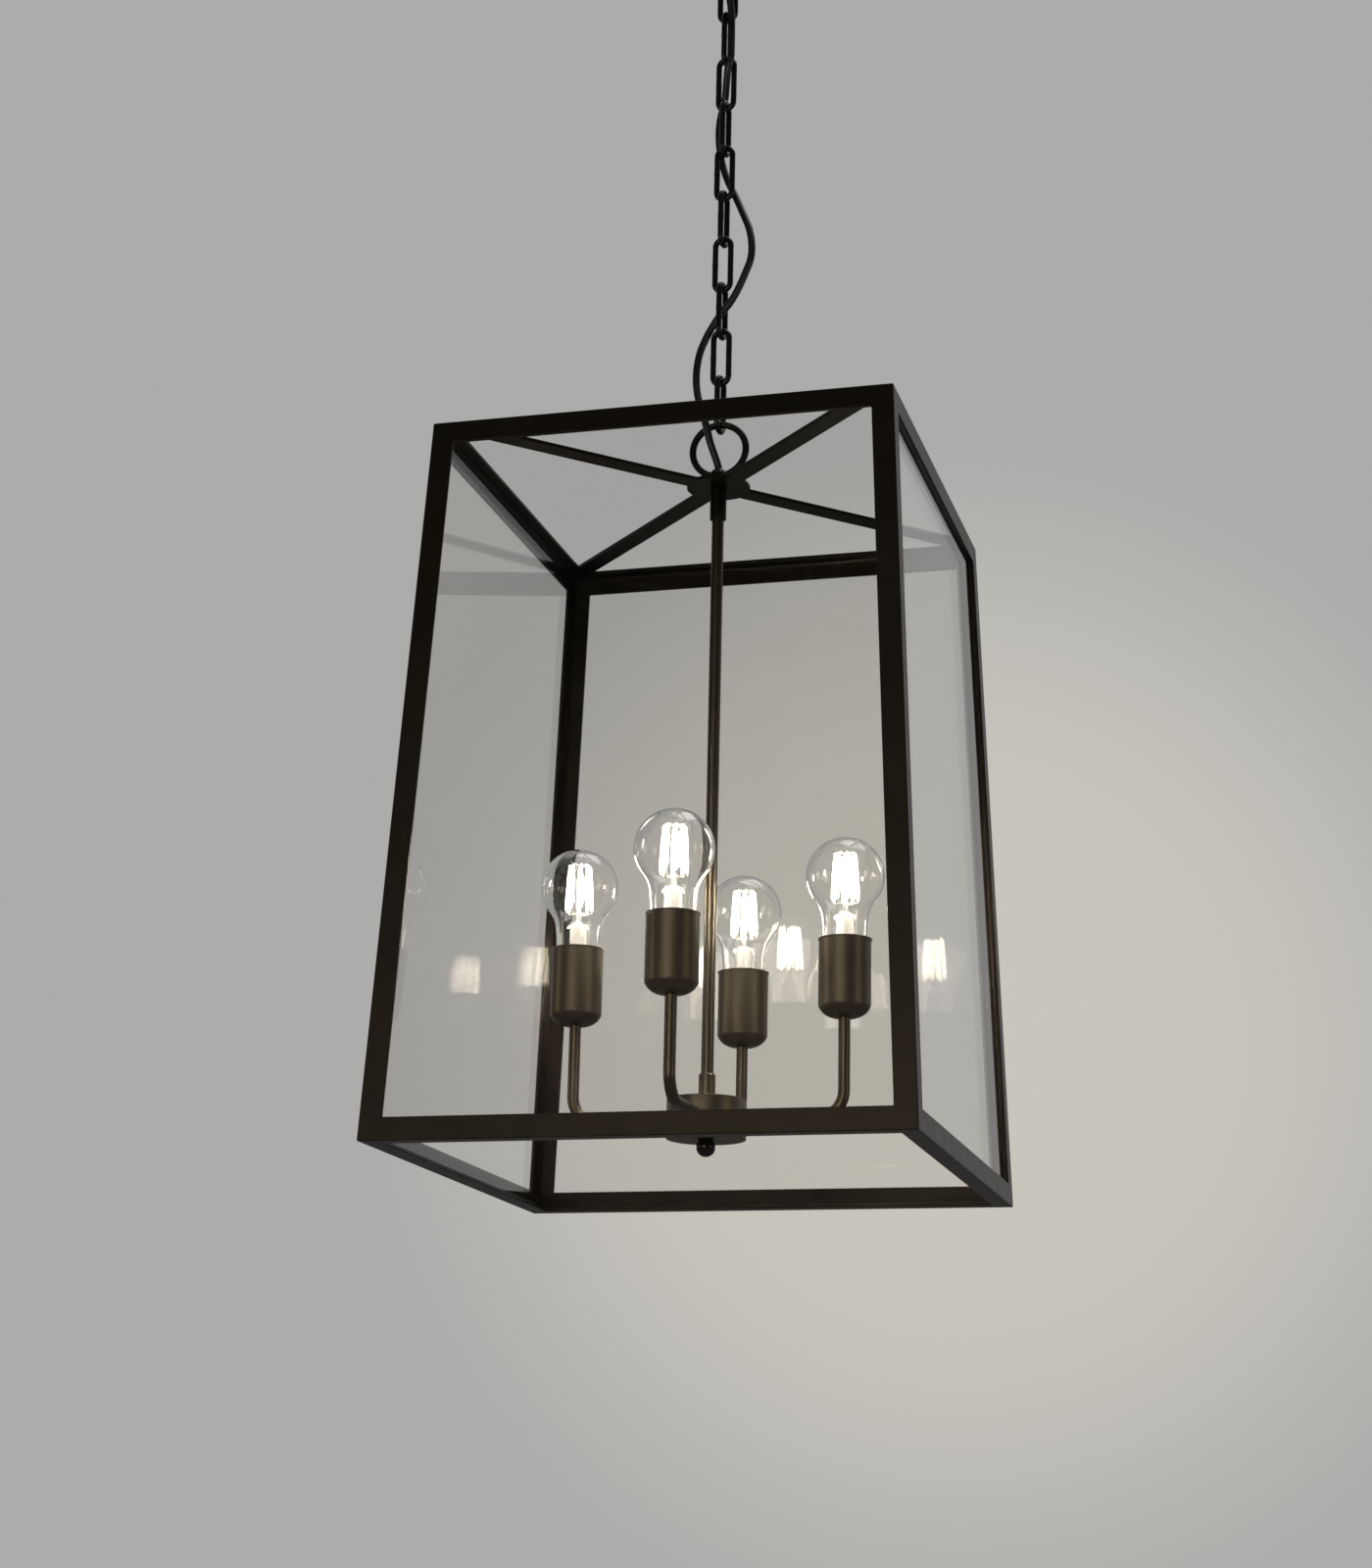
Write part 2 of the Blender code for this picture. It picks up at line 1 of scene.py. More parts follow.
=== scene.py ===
"""The looks of the hanging lantern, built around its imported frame, in metres."""
import json
import math

import bmesh
import bpy
from mathutils import Matrix, Vector

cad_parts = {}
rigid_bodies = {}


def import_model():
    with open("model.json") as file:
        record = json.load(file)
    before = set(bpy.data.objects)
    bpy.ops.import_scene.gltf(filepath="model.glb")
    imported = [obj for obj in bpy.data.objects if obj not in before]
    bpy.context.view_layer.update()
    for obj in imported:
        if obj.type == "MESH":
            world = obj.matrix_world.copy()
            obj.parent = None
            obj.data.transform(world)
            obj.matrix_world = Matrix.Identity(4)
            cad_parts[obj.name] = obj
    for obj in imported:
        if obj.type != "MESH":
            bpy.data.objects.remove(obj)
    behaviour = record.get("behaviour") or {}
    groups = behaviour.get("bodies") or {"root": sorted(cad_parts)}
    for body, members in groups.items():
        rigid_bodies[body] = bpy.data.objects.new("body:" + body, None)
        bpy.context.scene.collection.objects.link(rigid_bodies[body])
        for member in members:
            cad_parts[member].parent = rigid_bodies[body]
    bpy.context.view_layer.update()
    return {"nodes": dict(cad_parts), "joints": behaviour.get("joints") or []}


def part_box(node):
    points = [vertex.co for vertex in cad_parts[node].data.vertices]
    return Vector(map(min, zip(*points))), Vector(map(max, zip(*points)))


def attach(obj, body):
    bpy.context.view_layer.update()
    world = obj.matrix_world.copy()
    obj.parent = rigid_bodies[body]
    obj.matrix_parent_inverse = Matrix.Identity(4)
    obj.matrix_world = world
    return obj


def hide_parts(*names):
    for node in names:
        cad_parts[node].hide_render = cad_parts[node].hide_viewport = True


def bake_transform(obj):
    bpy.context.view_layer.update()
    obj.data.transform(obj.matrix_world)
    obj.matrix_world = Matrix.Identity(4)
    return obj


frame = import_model()

MM = 0.001
LINK_COUNT = 10
LAMPS = (1, 2, 3, 4)


# ---------------------------------------------------------------- places, read from the frame
def low(node):
    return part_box(node)[0]


def high(node):
    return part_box(node)[1]


def middle(node):
    return (low(node) + high(node)) / 2


FOOT = low("bottom_frame").z
TOP = high("top_frame").z
BODY_H = TOP - FOOT
BASE_HALF = high("bottom_frame").x
TOP_HALF = BASE_HALF - 23.0 * MM
LEG = high("bottom_frame").z - FOOT
LEG_FLAT = 14.8 * MM
LEG_T = 3.0 * MM
HINGES = {j["child"]: Vector(j["pos_m"]) for j in frame["joints"] if j["type"] == "hinge"}
CHAIN_BODIES = ["rose"] + [f"link_{n:02d}" for n in range(1, LINK_COUNT + 1)] + ["lantern"]
CHAIN_TURN = math.radians(-7.25)
CORD_R = 3.0 * MM
LINK_WIRE = 2.4 * MM
ROD_R = 4.75 * MM
ROSE_WALL = 1.5 * MM
STEM_TOP = FOOT + 198.5 * MM

# The flex cord's route, the same points as the CAD cord's: X, Y, Z
CORD_ROUTE = [
    (-0.0023, -0.0179, -0.0180), (-0.0023, -0.0179, -0.0290), (-0.0019, -0.0174, -0.0410),
    (0.0012, -0.0130, -0.0540), (0.0041, -0.0094, -0.0670), (0.0053, -0.0075, -0.0810),
    (0.0055, -0.0071, -0.0970), (0.0056, -0.0073, -0.1110), (0.0053, -0.0073, -0.1195),
    (0.0023, -0.0053, -0.1295), (0.0, 0.0, -0.1400), (-0.0023, 0.0052, -0.1505),
    (-0.0054, 0.0072, -0.1610), (-0.0068, 0.0060, -0.1730), (-0.0070, 0.0054, -0.1840),
    (-0.0063, 0.0065, -0.1960), (-0.0046, 0.0073, -0.2070), (-0.0015, 0.0072, -0.2180),
    (0.0026, 0.0066, -0.2290), (0.0074, 0.0059, -0.2390), (0.0146, 0.0030, -0.2560),
    (0.0217, -0.0003, -0.2740), (0.0246, -0.0024, -0.2895), (0.0241, -0.0028, -0.3020),
    (0.0201, -0.0025, -0.3135), (0.0135, -0.0017, -0.3281), (0.0068, -0.0009, -0.3390),
    (0.0, 0.0, -0.3465), (-0.0068, 0.0008, -0.3560), (-0.0132, 0.0015, -0.3670),
    (-0.0182, 0.0010, -0.3805), (-0.0202, -0.0002, -0.3955), (-0.0196, -0.0020, -0.4100),
    (-0.0168, -0.0042, -0.4240), (-0.0116, -0.0066, -0.4400), (-0.0089, -0.0069, -0.4500),
    (-0.0064, -0.0054, -0.4610), (-0.0039, -0.0032, -0.4695), (-0.0013, -0.0010, -0.4780),
    (0.0, 0.0, -0.4850), (0.0, 0.0, -0.4945),
]


# ---------------------------------------------------------------- camera
def make_camera():
    """A long lens below the lantern and a little to its right, looking up at it."""
    data = bpy.data.cameras.new("camera")
    data.lens = 66.09
    data.sensor_width = 36.0
    camera = bpy.data.objects.new("camera", data)
    bpy.context.scene.collection.objects.link(camera)
    right = Vector((0.96480, 0.26214, 0.02122)).normalized()
    forward = Vector((-0.25798, 0.92765, 0.27003)).normalized()
    up = right.cross(forward).normalized()
    right = forward.cross(up)
    turn = Matrix((right, up, -forward)).transposed().to_4x4()
    camera.matrix_world = Matrix.Translation((0.55591, -2.07665, FOOT - 0.29893)) @ turn
    bpy.context.scene.camera = camera


# ---------------------------------------------------------------- materials
class Nodes:
    """A short way to build one material's nodes."""

    def __init__(self, name):
        self.material = bpy.data.materials.new(name)
        self.material.use_nodes = True
        self.tree = self.material.node_tree
        self.shader = self.tree.nodes["Principled BSDF"]
        self.output = self.tree.nodes["Material Output"]
        self.coords = self.add("ShaderNodeTexCoord").outputs["Object"]

    def add(self, kind, **inputs):
        node = self.tree.nodes.new(kind)
        for name, value in inputs.items():
            self.put(node, name.replace("_", " "), value)
        return node

    def put(self, node, name, value):
        socket = node.inputs[name]
        if isinstance(value, bpy.types.NodeSocket):
            self.tree.links.new(value, socket)
        else:
            socket.default_value = value

    def set(self, **inputs):
        for name, value in inputs.items():
            self.put(self.shader, name.replace("_", " "), value)

    def noise(self, scale, detail=3.0, stretch=(1, 1, 1)):
        coords = self.coords
        if stretch != (1, 1, 1):
            coords = self.add("ShaderNodeMapping", Vector=coords, Scale=stretch).outputs[0]
        return self.add("ShaderNodeTexNoise", Vector=coords, Scale=scale, Detail=detail).outputs["Fac"]

    def ramp(self, fac, stops):
        node = self.add("ShaderNodeValToRGB", Fac=fac)
        elements = node.color_ramp.elements
        while len(elements) < len(stops):
            elements.new(0.5)
        for element, (place, color) in zip(elements, stops):
            element.position = place
            element.color = (*color, 1) if len(color) == 3 else color
        return node.outputs["Color"]

    def spread(self, fac, start, end):
        return self.add("ShaderNodeMapRange", Value=fac, To_Min=start, To_Max=end).outputs["Result"]

    def bump(self, *layers):
        normal = None
        for height, distance, strength in layers:
            node = self.add("ShaderNodeBump", Height=height, Distance=distance, Strength=strength)
            if normal is not None:
                self.tree.links.new(normal, node.inputs["Normal"])
            normal = node.outputs["Normal"]
        self.tree.links.new(normal, self.shader.inputs["Normal"])


def shaded(color, share):
    return tuple(c * share for c in color)


def metal_paint(name, color, roughness, metallic, grain=1.0, coat=0.0):
    """Sprayed metallic lacquer: faint cloudy colour, fine flake and a light orange peel."""
    n = Nodes(name)
    cloud, flake = n.noise(14.0, 4.0), n.noise(2600.0, 2.0)
    n.set(
        Base_Color=n.ramp(cloud, [(0.3, shaded(color, 0.86)), (0.7, shaded(color, 1.12))]),
        Roughness=n.spread(n.noise(60.0), roughness - 0.05, roughness + 0.05),
        Metallic=metallic, Coat_Weight=coat, Coat_Roughness=0.12,
    )
    n.bump((n.noise(420.0, 3.0), 0.12 * MM, 0.10 * grain), (flake, 0.02 * MM, 0.10 * grain))
    return n.material


def cord_sheath():
    """Extruded flex sheath: smooth, with faint lines along it."""
    n = Nodes("flex_sheath")
    lines = n.noise(900.0, 2.0, stretch=(1, 1, 0.04))
    n.set(
        Base_Color=n.ramp(n.noise(40.0), [(0.3, (0.006, 0.006, 0.006)), (0.7, (0.011, 0.011, 0.010))]),
        Roughness=n.spread(lines, 0.30, 0.42),
    )
    n.bump((lines, 0.04 * MM, 0.25))
    return n.material


def flat_glass(name, tint):
    """A flat pane: clear straight through, under a mirror sheen that grows with the angle."""
    n = Nodes(name)
    smears = n.noise(5.0, 3.0)
    clear = n.add("ShaderNodeBsdfTransparent")
    n.put(clear, "Color", n.ramp(smears, [(0.3, shaded(tint, 0.995)), (0.7, tint)]))
    n.set(Base_Color=(1, 1, 1, 1), Metallic=1.0, Roughness=0.0)
    facing = n.add("ShaderNodeLayerWeight", Blend=0.5).outputs["Facing"]
    grown = n.add("ShaderNodeMath")
    grown.operation = "POWER"
    grown.inputs[1].default_value = 5.0
    n.tree.links.new(facing, grown.inputs[0])
    mix = n.add("ShaderNodeMixShader", Fac=n.spread(grown.outputs[0], 0.042, 1.0))
    n.tree.links.new(clear.outputs[0], mix.inputs[1])
    n.tree.links.new(n.shader.outputs[0], mix.inputs[2])
    n.tree.links.new(mix.outputs[0], n.output.inputs["Surface"])
    return n.material


def blown_glass(name, tint, ripple, roughness=0.0):
    """Thin blown glass that lets lamplight through to what is behind it."""
    n = Nodes(name)
    n.set(Base_Color=(*tint, 1), Roughness=roughness, IOR=1.48, Transmission_Weight=1.0)
    n.bump((n.noise(9.0, 1.0), 0.3 * MM, ripple))
    clear = n.add("ShaderNodeBsdfTransparent", Color=(*tint, 1))
    path = n.add("ShaderNodeLightPath").outputs["Is Shadow Ray"]
    mix = n.add("ShaderNodeMixShader", Fac=path)
    n.tree.links.new(n.shader.outputs[0], mix.inputs[1])
    n.tree.links.new(clear.outputs[0], mix.inputs[2])
    n.tree.links.new(mix.outputs[0], n.output.inputs["Surface"])
    return n.material


def plastic(name, color, roughness):
    n = Nodes(name)
    n.set(
        Base_Color=n.ramp(n.noise(30.0), [(0.3, shaded(color, 0.94)), (0.7, shaded(color, 1.03))]),
        Roughness=n.spread(n.noise(160.0), roughness - 0.04, roughness + 0.05),
    )
    n.bump((n.noise(700.0), 0.05 * MM, 0.12))
    return n.material


def bare_metal(name, color, roughness, streak=(1, 1, 1)):
    n = Nodes(name)
    marks = n.noise(500.0, 4.0, stretch=streak)
    n.set(
        Base_Color=n.ramp(marks, [(0.3, shaded(color, 0.85)), (0.7, color)]),
        Roughness=n.spread(marks, roughness - 0.06, roughness + 0.08), Metallic=1.0,
    )
    n.bump((marks, 0.03 * MM, 0.2))
    return n.material


def glow(name, color, strength):
    """A lit phosphor stick: a bright, faintly mottled emitter."""
    n = Nodes(name)
    spots = n.noise(900.0, 2.0)
    n.set(
        Base_Color=n.ramp(spots, [(0.3, (0.9, 0.75, 0.4)), (0.7, (1.0, 0.9, 0.6))]),
        Emission_Color=(*color, 1), Emission_Strength=strength, Roughness=0.6,
    )
    return n.material


BRONZE = (0.190, 0.163, 0.122)
LOOKS = {
    "frame": metal_paint("frame_bronze", (0.029, 0.0245, 0.019), 0.40, 0.95, grain=0.5),
    "bronze": metal_paint("satin_bronze", BRONZE, 0.40, 0.96, grain=0.5),
    # The tube look is the satin bronze darkened to 0.76 of its colour, painted shade on the arms and the rod
    "tube": metal_paint("tube_bronze_painted_shade", shaded(BRONZE, 0.76), 0.34, 0.96, grain=0.1),
    "chain": metal_paint("chain_black", (0.016, 0.014, 0.012), 0.30, 0.60, grain=0.2),
    "finial": metal_paint("finial_black", (0.020, 0.017, 0.014), 0.14, 0.70, grain=0.3, coat=0.5),
    "rose": metal_paint("rose_bronze", (0.045, 0.038, 0.028), 0.34, 0.75),
    "cord": cord_sheath(),
    "pane": flat_glass("pane_glass", (0.975, 0.972, 0.966)),
    "bulb": blown_glass("bulb_glass", (1.0, 1.0, 0.995), 0.010),
    "stem": blown_glass("stem_glass", (1.0, 0.99, 0.97), 0.050, 0.30),
    "grip": plastic("grip_black", (0.010, 0.010, 0.010), 0.42),
    "white": plastic("glazed_white", (0.72, 0.71, 0.67), 0.25),
    "zinc": bare_metal("zinc_plate", (0.62, 0.61, 0.58), 0.36),
    "cap": bare_metal("cap_aluminium", (0.80, 0.79, 0.76), 0.26, streak=(1, 1, 6)),
    "brass": bare_metal("screw_brass", (0.78, 0.58, 0.28), 0.30),
    "wire": bare_metal("nickel_wire", (0.70, 0.68, 0.64), 0.25),
    "filament": glow("lit_filament", (1.0, 0.92, 0.80), 60.0),
}


# ---------------------------------------------------------------- mesh helpers
def finish_piece(name, work, look, body, node=None, sharp=35.0):
    """Turns a bmesh into a piece that rides on body and stands for a CAD node."""
    bmesh.ops.recalc_face_normals(work, faces=work.faces)
    mesh = bpy.data.meshes.new(name)
    work.to_mesh(mesh)
    work.free()
    mesh.shade_smooth()
    mesh.set_sharp_from_angle(angle=math.radians(sharp))
    mesh.materials.append(LOOKS[look])
    obj = bpy.data.objects.new(name, mesh)
    bpy.context.scene.collection.objects.link(obj)
    if body:
        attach(obj, body)
    if node:
        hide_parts(*([node] if isinstance(node, str) else node))
    return obj


def arc(centre_r, centre_z, radius, start, end, steps=8):
    """Profile points on an arc, with angles in degrees from straight out."""
    points = []
    for k in range(steps + 1):
        turn = math.radians(start + (end - start) * k / steps)
        points.append((centre_r + radius * math.cos(turn), centre_z + radius * math.sin(turn)))
    return points


def softened(points, radius, steps=4):
    """A closed outline with every corner rounded to radius, or less where an edge is short."""
    rounded = []
    count = len(points)
    for k in range(count):
        before, here, after = (Vector(points[(k + d) % count]) for d in (-1, 0, 1))
        if here.x < 1e-9:
            rounded.append(tuple(here))
            continue
        to_before, to_after = before - here, after - here
        if to_before.length < 1e-9 or to_after.length < 1e-9:
            continue
        opening = to_before.angle(to_after)
        if opening > math.radians(165):
            rounded.append(tuple(here))
            continue
        reach = radius / math.tan(opening / 2)
        reach = min(reach, 0.45 * to_before.length, 0.45 * to_after.length)
        start, end = here + to_before.normalized() * reach, here + to_after.normalized() * reach
        for s in range(steps + 1):
            t = s / steps
            rounded.append(tuple(start * (1 - t) ** 2 + here * 2 * t * (1 - t) + end * t * t))
    return rounded


def add_turned(work, profile, place, sides=64):
    """A turned solid from a closed outline of (radius, world z) points."""
    rings = []
    for radius, z in profile:
        if radius < 1e-7:
            rings.append([work.verts.new((place[0], place[1], z))])
            continue
        rings.append([
            work.verts.new((place[0] + radius * math.cos(2 * math.pi * k / sides),
                            place[1] + radius * math.sin(2 * math.pi * k / sides), z))
            for k in range(sides)
        ])
    for a, b in zip(rings, rings[1:] + rings[:1]):
        if len(a) == 1 and len(b) == 1:
            continue
        for k in range(sides):
            n = (k + 1) % sides
            if len(a) == 1:
                work.faces.new((a[0], b[n], b[k]))
            elif len(b) == 1:
                work.faces.new((a[k], a[n], b[0]))
            else:
                work.faces.new((a[k], a[n], b[n], b[k]))


def turned(name, profile, look, body, node, place=(0, 0), sides=64, soft=0.0, sharp=35.0):
    """One turned piece, with its outline's corners rounded by soft."""
    work = bmesh.new()
    add_turned(work, softened(profile, soft) if soft else profile, place, sides)
    return finish_piece(name, work, look, body, node, sharp)


def frames_along(path, closed=False):
    """A steady pair of side vectors at each point of a path."""
    count = len(path)
    tangents = []
    for k in range(count):
        a = path[(k - 1) % count] if closed or k > 0 else path[k]
        b = path[(k + 1) % count] if closed or k < count - 1 else path[k]
        tangents.append((b - a).normalized())
    side = tangents[0].orthogonal().normalized()
    sides = []
    for tangent in tangents:
        side = (side - tangent * side.dot(tangent)).normalized()
        sides.append((side, tangent.cross(side)))
    return sides


def join_rings(work, rings, closed=False):
    """Faces between rings of the same count, with caps on both ends unless the last meets the first."""
    pairs = list(zip(rings, rings[1:]))
    if closed:
        # The last ring is joined to the first with the turn that matches best
        gaps = [(rings[-1][0].co - v.co).length for v in rings[0]]
        shift = gaps.index(min(gaps))
        pairs.append((rings[-1], rings[0][shift:] + rings[0][:shift]))
    sides = len(rings[0])
    for a, b in pairs:
        for s in range(sides):
            n = (s + 1) % sides
            work.faces.new((a[s], a[n], b[n], b[s]))
    if not closed:
        work.faces.new(rings[0])
        work.faces.new(rings[-1])


def add_tube(work, path, radius, sides=16, closed=False, radii=None, frames=None):
    """A round tube along path, with its own radii and side vectors where they are given."""
    path = [Vector(p) for p in path]
    frames = frames or frames_along(path, closed)
    rings = []
    for k, (place, (u, v)) in enumerate(zip(path, frames)):
        r = radii[k] if radii else radius
        rings.append([
            work.verts.new(place + (u * math.cos(2 * math.pi * s / sides)
                                    + v * math.sin(2 * math.pi * s / sides)) * r)
            for s in range(sides)
        ])
    join_rings(work, rings, closed)


def add_box(work, lowest, highest, bevel=0.0):
    size = Vector(highest) - Vector(lowest)
    centre = (Vector(highest) + Vector(lowest)) / 2
    made = bmesh.ops.create_cube(work, size=1.0)
    matrix = Matrix.Translation(centre) @ Matrix.Diagonal((*size, 1))
    bmesh.ops.transform(work, matrix=matrix, verts=made["verts"])
    if bevel:
        edges = list({e for v in made["verts"] for e in v.link_edges})
        bmesh.ops.bevel(work, geom=edges, offset=bevel, segments=3, profile=0.7, affect="EDGES")


def add_prism(work, first, second):
    """A closed solid between two outlines that have the same number of points."""
    a, b = [work.verts.new(p) for p in first], [work.verts.new(p) for p in second]
    work.faces.new(a)
    work.faces.new(b)
    for k in range(len(a)):
        n = (k + 1) % len(a)
        work.faces.new((a[k], a[n], b[n], b[k]))


def add_screw_head(work, place, direction, radius, height, sides=24):
    """A domed round head with a thin raised cross for its driver."""
    out = Vector(direction).normalized()
    steps = 5
    path, radii = [], []
    for k in range(steps + 1):
        turn = math.pi / 2 * k / steps
        path.append(Vector(place) + out * height * math.sin(turn))
        radii.append(max(radius * math.cos(turn), radius * 0.08))
    add_tube(work, path, radius, sides, radii=radii)
    side = out.orthogonal().normalized()
    for across in (side, out.cross(side)):
        bar = across * radius * 0.55
        centre = Vector(place) + out * height * 0.86
        add_tube(work, [centre - bar, centre + bar], radius * 0.12, 8)


def bevelled(obj, width, segments=3, angle=30.0):
    change = obj.modifiers.new("bevel", "BEVEL")
    change.width = width
    change.segments = segments
    change.limit_method = "ANGLE"
    change.angle_limit = math.radians(angle)
    change.use_clamp_overlap = True
    change.harden_normals = True
    obj.data.shade_smooth()


def through_points(points, per=10):
    """Points on a Catmull-Rom curve through points."""
    p = [Vector(q) for q in points]
    ends = [2 * p[0] - p[1]] + p + [2 * p[-1] - p[-2]]
    fine = []
    for p0, p1, p2, p3 in zip(ends, ends[1:], ends[2:], ends[3:]):
        for k in range(per):
            t = k / per
            fine.append(
                0.5 * (2 * p1 + (p2 - p0) * t + (2 * p0 - 5 * p1 + 4 * p2 - p3) * t**2
                       + (3 * p1 - p0 - 3 * p2 + p3) * t**3)
            )
    fine.append(p[-1])
    return fine


def chain_point(across, through, z):
    """A point in the chain's own turn: across is the face-on links' width, through is square to it."""
    c, s = math.cos(CHAIN_TURN), math.sin(CHAIN_TURN)
    return Vector((across * c - through * s, across * s + through * c, z))


# ---------------------------------------------------------------- ceiling rose
def build_rose_cup():
    bottom, top = low("ceiling_rose").z, high("ceiling_rose").z
    radius, wall = high("ceiling_rose").x, ROSE_WALL
    hole, round_r = 2.2 * MM, 6 * MM
    profile = [(hole, bottom)] + arc(radius - round_r, bottom + round_r, round_r, -90, 0, 10)
    profile += [(radius, top - 1 * MM), (radius - 0.4 * MM, top), (radius - wall, top)]
    profile += arc(radius - round_r, bottom + round_r, round_r - wall, 0, -90, 10)
    profile += [(hole, bottom + wall)]
    turned("rose_cup", profile, "rose", "rose", "ceiling_rose", sides=128)

    work = bmesh.new()
    for turn in (0, math.pi):
        out = Vector((math.cos(turn), math.sin(turn), 0))
        place = out * (radius - 0.3 * MM) + Vector((0, 0, top - 7 * MM))
        add_screw_head(work, place, out, 3.2 * MM, 1.8 * MM)
    finish_piece("rose_screws", work, "rose", "rose")


def build_bracket():
    screw_out = 28 * MM
    work = bmesh.new()
    add_box(work, low("rose_bracket"), high("rose_bracket"), 0.5 * MM)
    for side in (-1, 1):
        place = Vector((side * screw_out, 0, low("rose_bracket").z))
        add_screw_head(work, place, (0, 0, -1), 4.0 * MM, 1.6 * MM)
    finish_piece("bracket_bar", work, "zinc", "rose", "rose_bracket")


def build_hook_loop():
    """The U-shaped rod that carries the first link, with its nuts inside and its washers outside."""
    bottom, reach = low("ceiling_rose").z, 8.0 * MM
    bend_z = HINGES["link_01"].z + reach
    top_z = low("rose_bracket").z - 0.3 * MM
    path = [chain_point(0, -reach, top_z)]
    for k in range(33):
        turn = math.pi * k / 32
        path.append(chain_point(0, -reach * math.cos(turn), bend_z - reach * math.sin(turn)))
    path.append(chain_point(0, reach, top_z))
    work = bmesh.new()
    add_tube(work, path, LINK_WIRE, 20)
    inside = bottom + ROSE_WALL
    nut = (inside, inside + 3.2 * MM, 4.3 * MM, 6)
    washer = (bottom - 1.1 * MM, bottom - 0.1 * MM, 4.6 * MM, 32)
    for side in (-1, 1):
        centre = chain_point(0, side * reach, 0)
        for z0, z1, across, sides in (nut, washer):
            add_tube(work, [centre + Vector((0, 0, z0)), centre + Vector((0, 0, z1))], across, sides)
    finish_piece("rose_hook_loop", work, "chain", "rose", "rose_loop")


def build_cord_grip():
    lowest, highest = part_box("cord_grip")
    centre = middle("cord_grip")
    bottom = low("ceiling_rose").z
    bore, thread_r = CORD_R + 0.25 * MM, 4.3 * MM
    profile = [(bore, lowest.z), (4.4 * MM, lowest.z), (4.9 * MM, lowest.z + 1.2 * MM)]
    ribs = 4
    for k in range(ribs):
        z = lowest.z + (1.6 + 0.7 * k) * MM
        profile += [(5.4 * MM, z), (5.4 * MM, z + 0.35 * MM), (5.1 * MM, z + 0.45 * MM)]
    shoulder = bottom - 0.05 * MM
    profile += [(6.1 * MM, lowest.z + 4.9 * MM), (6.2 * MM, shoulder), (thread_r, shoulder),
                (thread_r, highest.z), (bore, highest.z)]
    turned("grip_collar", profile, "grip", "rose", "cord_grip", (centre.x, centre.y), 48)


def terminal_block(name, node, body):
    """A strip connector: a moulded body with a pair of brass screws for each wire."""
    lowest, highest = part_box(node)
    size = highest - lowest
    ways = 3 if size.x > 20 * MM else 2
    work, screws = bmesh.new(), bmesh.new()
    pitch, gap = size.x / ways, 0.3 * MM
    for w in range(ways):
        x0 = lowest.x + w * pitch
        near, far = (x0 + gap, lowest.y, lowest.z), (x0 + pitch - gap, highest.y, highest.z)
        add_box(work, near, far, 1.0 * MM)
        for share in (0.28, 0.72):
            place = Vector((x0 + pitch / 2, lowest.y + share * size.y, lowest.z + 0.2 * MM))
            add_screw_head(screws, place, (0, 0, -1), pitch * 0.24, 0.5 * MM, 16)
    add_box(work, lowest + Vector((1, 1, 3)) * MM, highest - Vector((1, 1, 3)) * MM, 0.5 * MM)
    finish_piece(name, work, "white", body, node)
    finish_piece(name + "_screws", screws, "brass", body)


# ---------------------------------------------------------------- chain and cord
def build_links():
    bend, weld_swell = 6.7 * MM, 0.07
    for number in range(1, LINK_COUNT + 1):
        node = f"chain_link_{number:02d}"
        lowest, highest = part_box(node)
        z_top, z_low = highest.z - LINK_WIRE - bend, lowest.z + LINK_WIRE + bend
        face_on = number % 2 == 1
        path, radii = [], []

        def add_point(across, z, radius):
            path.append(chain_point(across, 0, z) if face_on else chain_point(0, across, z))
            radii.append(radius)

        for turn0, centre in ((0, z_top), (math.pi, z_low)):
            for k in range(17):
                turn = turn0 + math.pi * k / 16
                add_point(bend * math.cos(turn), centre + bend * math.sin(turn), LINK_WIRE)
            # One long side carries the weld, a slight swelling at its middle
            a, b = (z_top, z_low) if turn0 == 0 else (z_low, z_top)
            side = -bend if turn0 == 0 else bend
            for k in range(1, 16):
                share = k / 16
                swell = math.exp(-((share - 0.5) / 0.055) ** 2) if turn0 == 0 else 0.0
                add_point(side, a + (b - a) * share, LINK_WIRE * (1 + weld_swell * swell))
        work = bmesh.new()
        add_tube(work, path, LINK_WIRE, 20, closed=True, radii=radii)
        finish_piece(f"wire_link_{number:02d}", work, "chain", f"link_{number:02d}", node)


def build_cord():
    """The flex, in stretches that meet at the links' middles, with one joint within each."""
    fine = through_points(CORD_ROUTE, 8)
    hinge_z = [HINGES[b].z for b in CHAIN_BODIES[1:]]
    seams = [(a + b) / 2 for a, b in zip(hinge_z, hinge_z[1:])]
    nearest = [min(range(len(fine)), key=lambda k: abs(fine[k].z - z)) for z in seams]
    cuts = [0] + nearest + [len(fine) - 1]
    across = frames_along(fine)
    for n, (start, end) in enumerate(zip(cuts, cuts[1:])):
        path = fine[start:end + 1]
        work = bmesh.new()
        add_tube(work, path, CORD_R, 24, frames=across[start:end + 1])
        piece = finish_piece(f"flex_cord_{n + 1:02d}", work, "cord", None, "flex_cord", 60)
        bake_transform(piece)


# ---------------------------------------------------------------- ring, hub and rod
def build_ring():
    """The open ring that the last link hangs from, with its two ends in the cap below."""
    wire, radius = 2.8 * MM, 21.9 * MM
    centre_z = FOOT + 582.1 * MM
    gap = math.asin(4.8 * MM / radius)
    path = []
    for k in range(97):
        turn = -math.pi / 2 + gap + (2 * math.pi - 2 * gap) * k / 96
        path.append((radius * math.cos(turn), 0, centre_z + radius * math.sin(turn)))
    work = bmesh.new()
    add_tube(work, path, wire, 24)
    finish_piece("hanging_ring", work, "chain", "lantern", "suspension_ring")


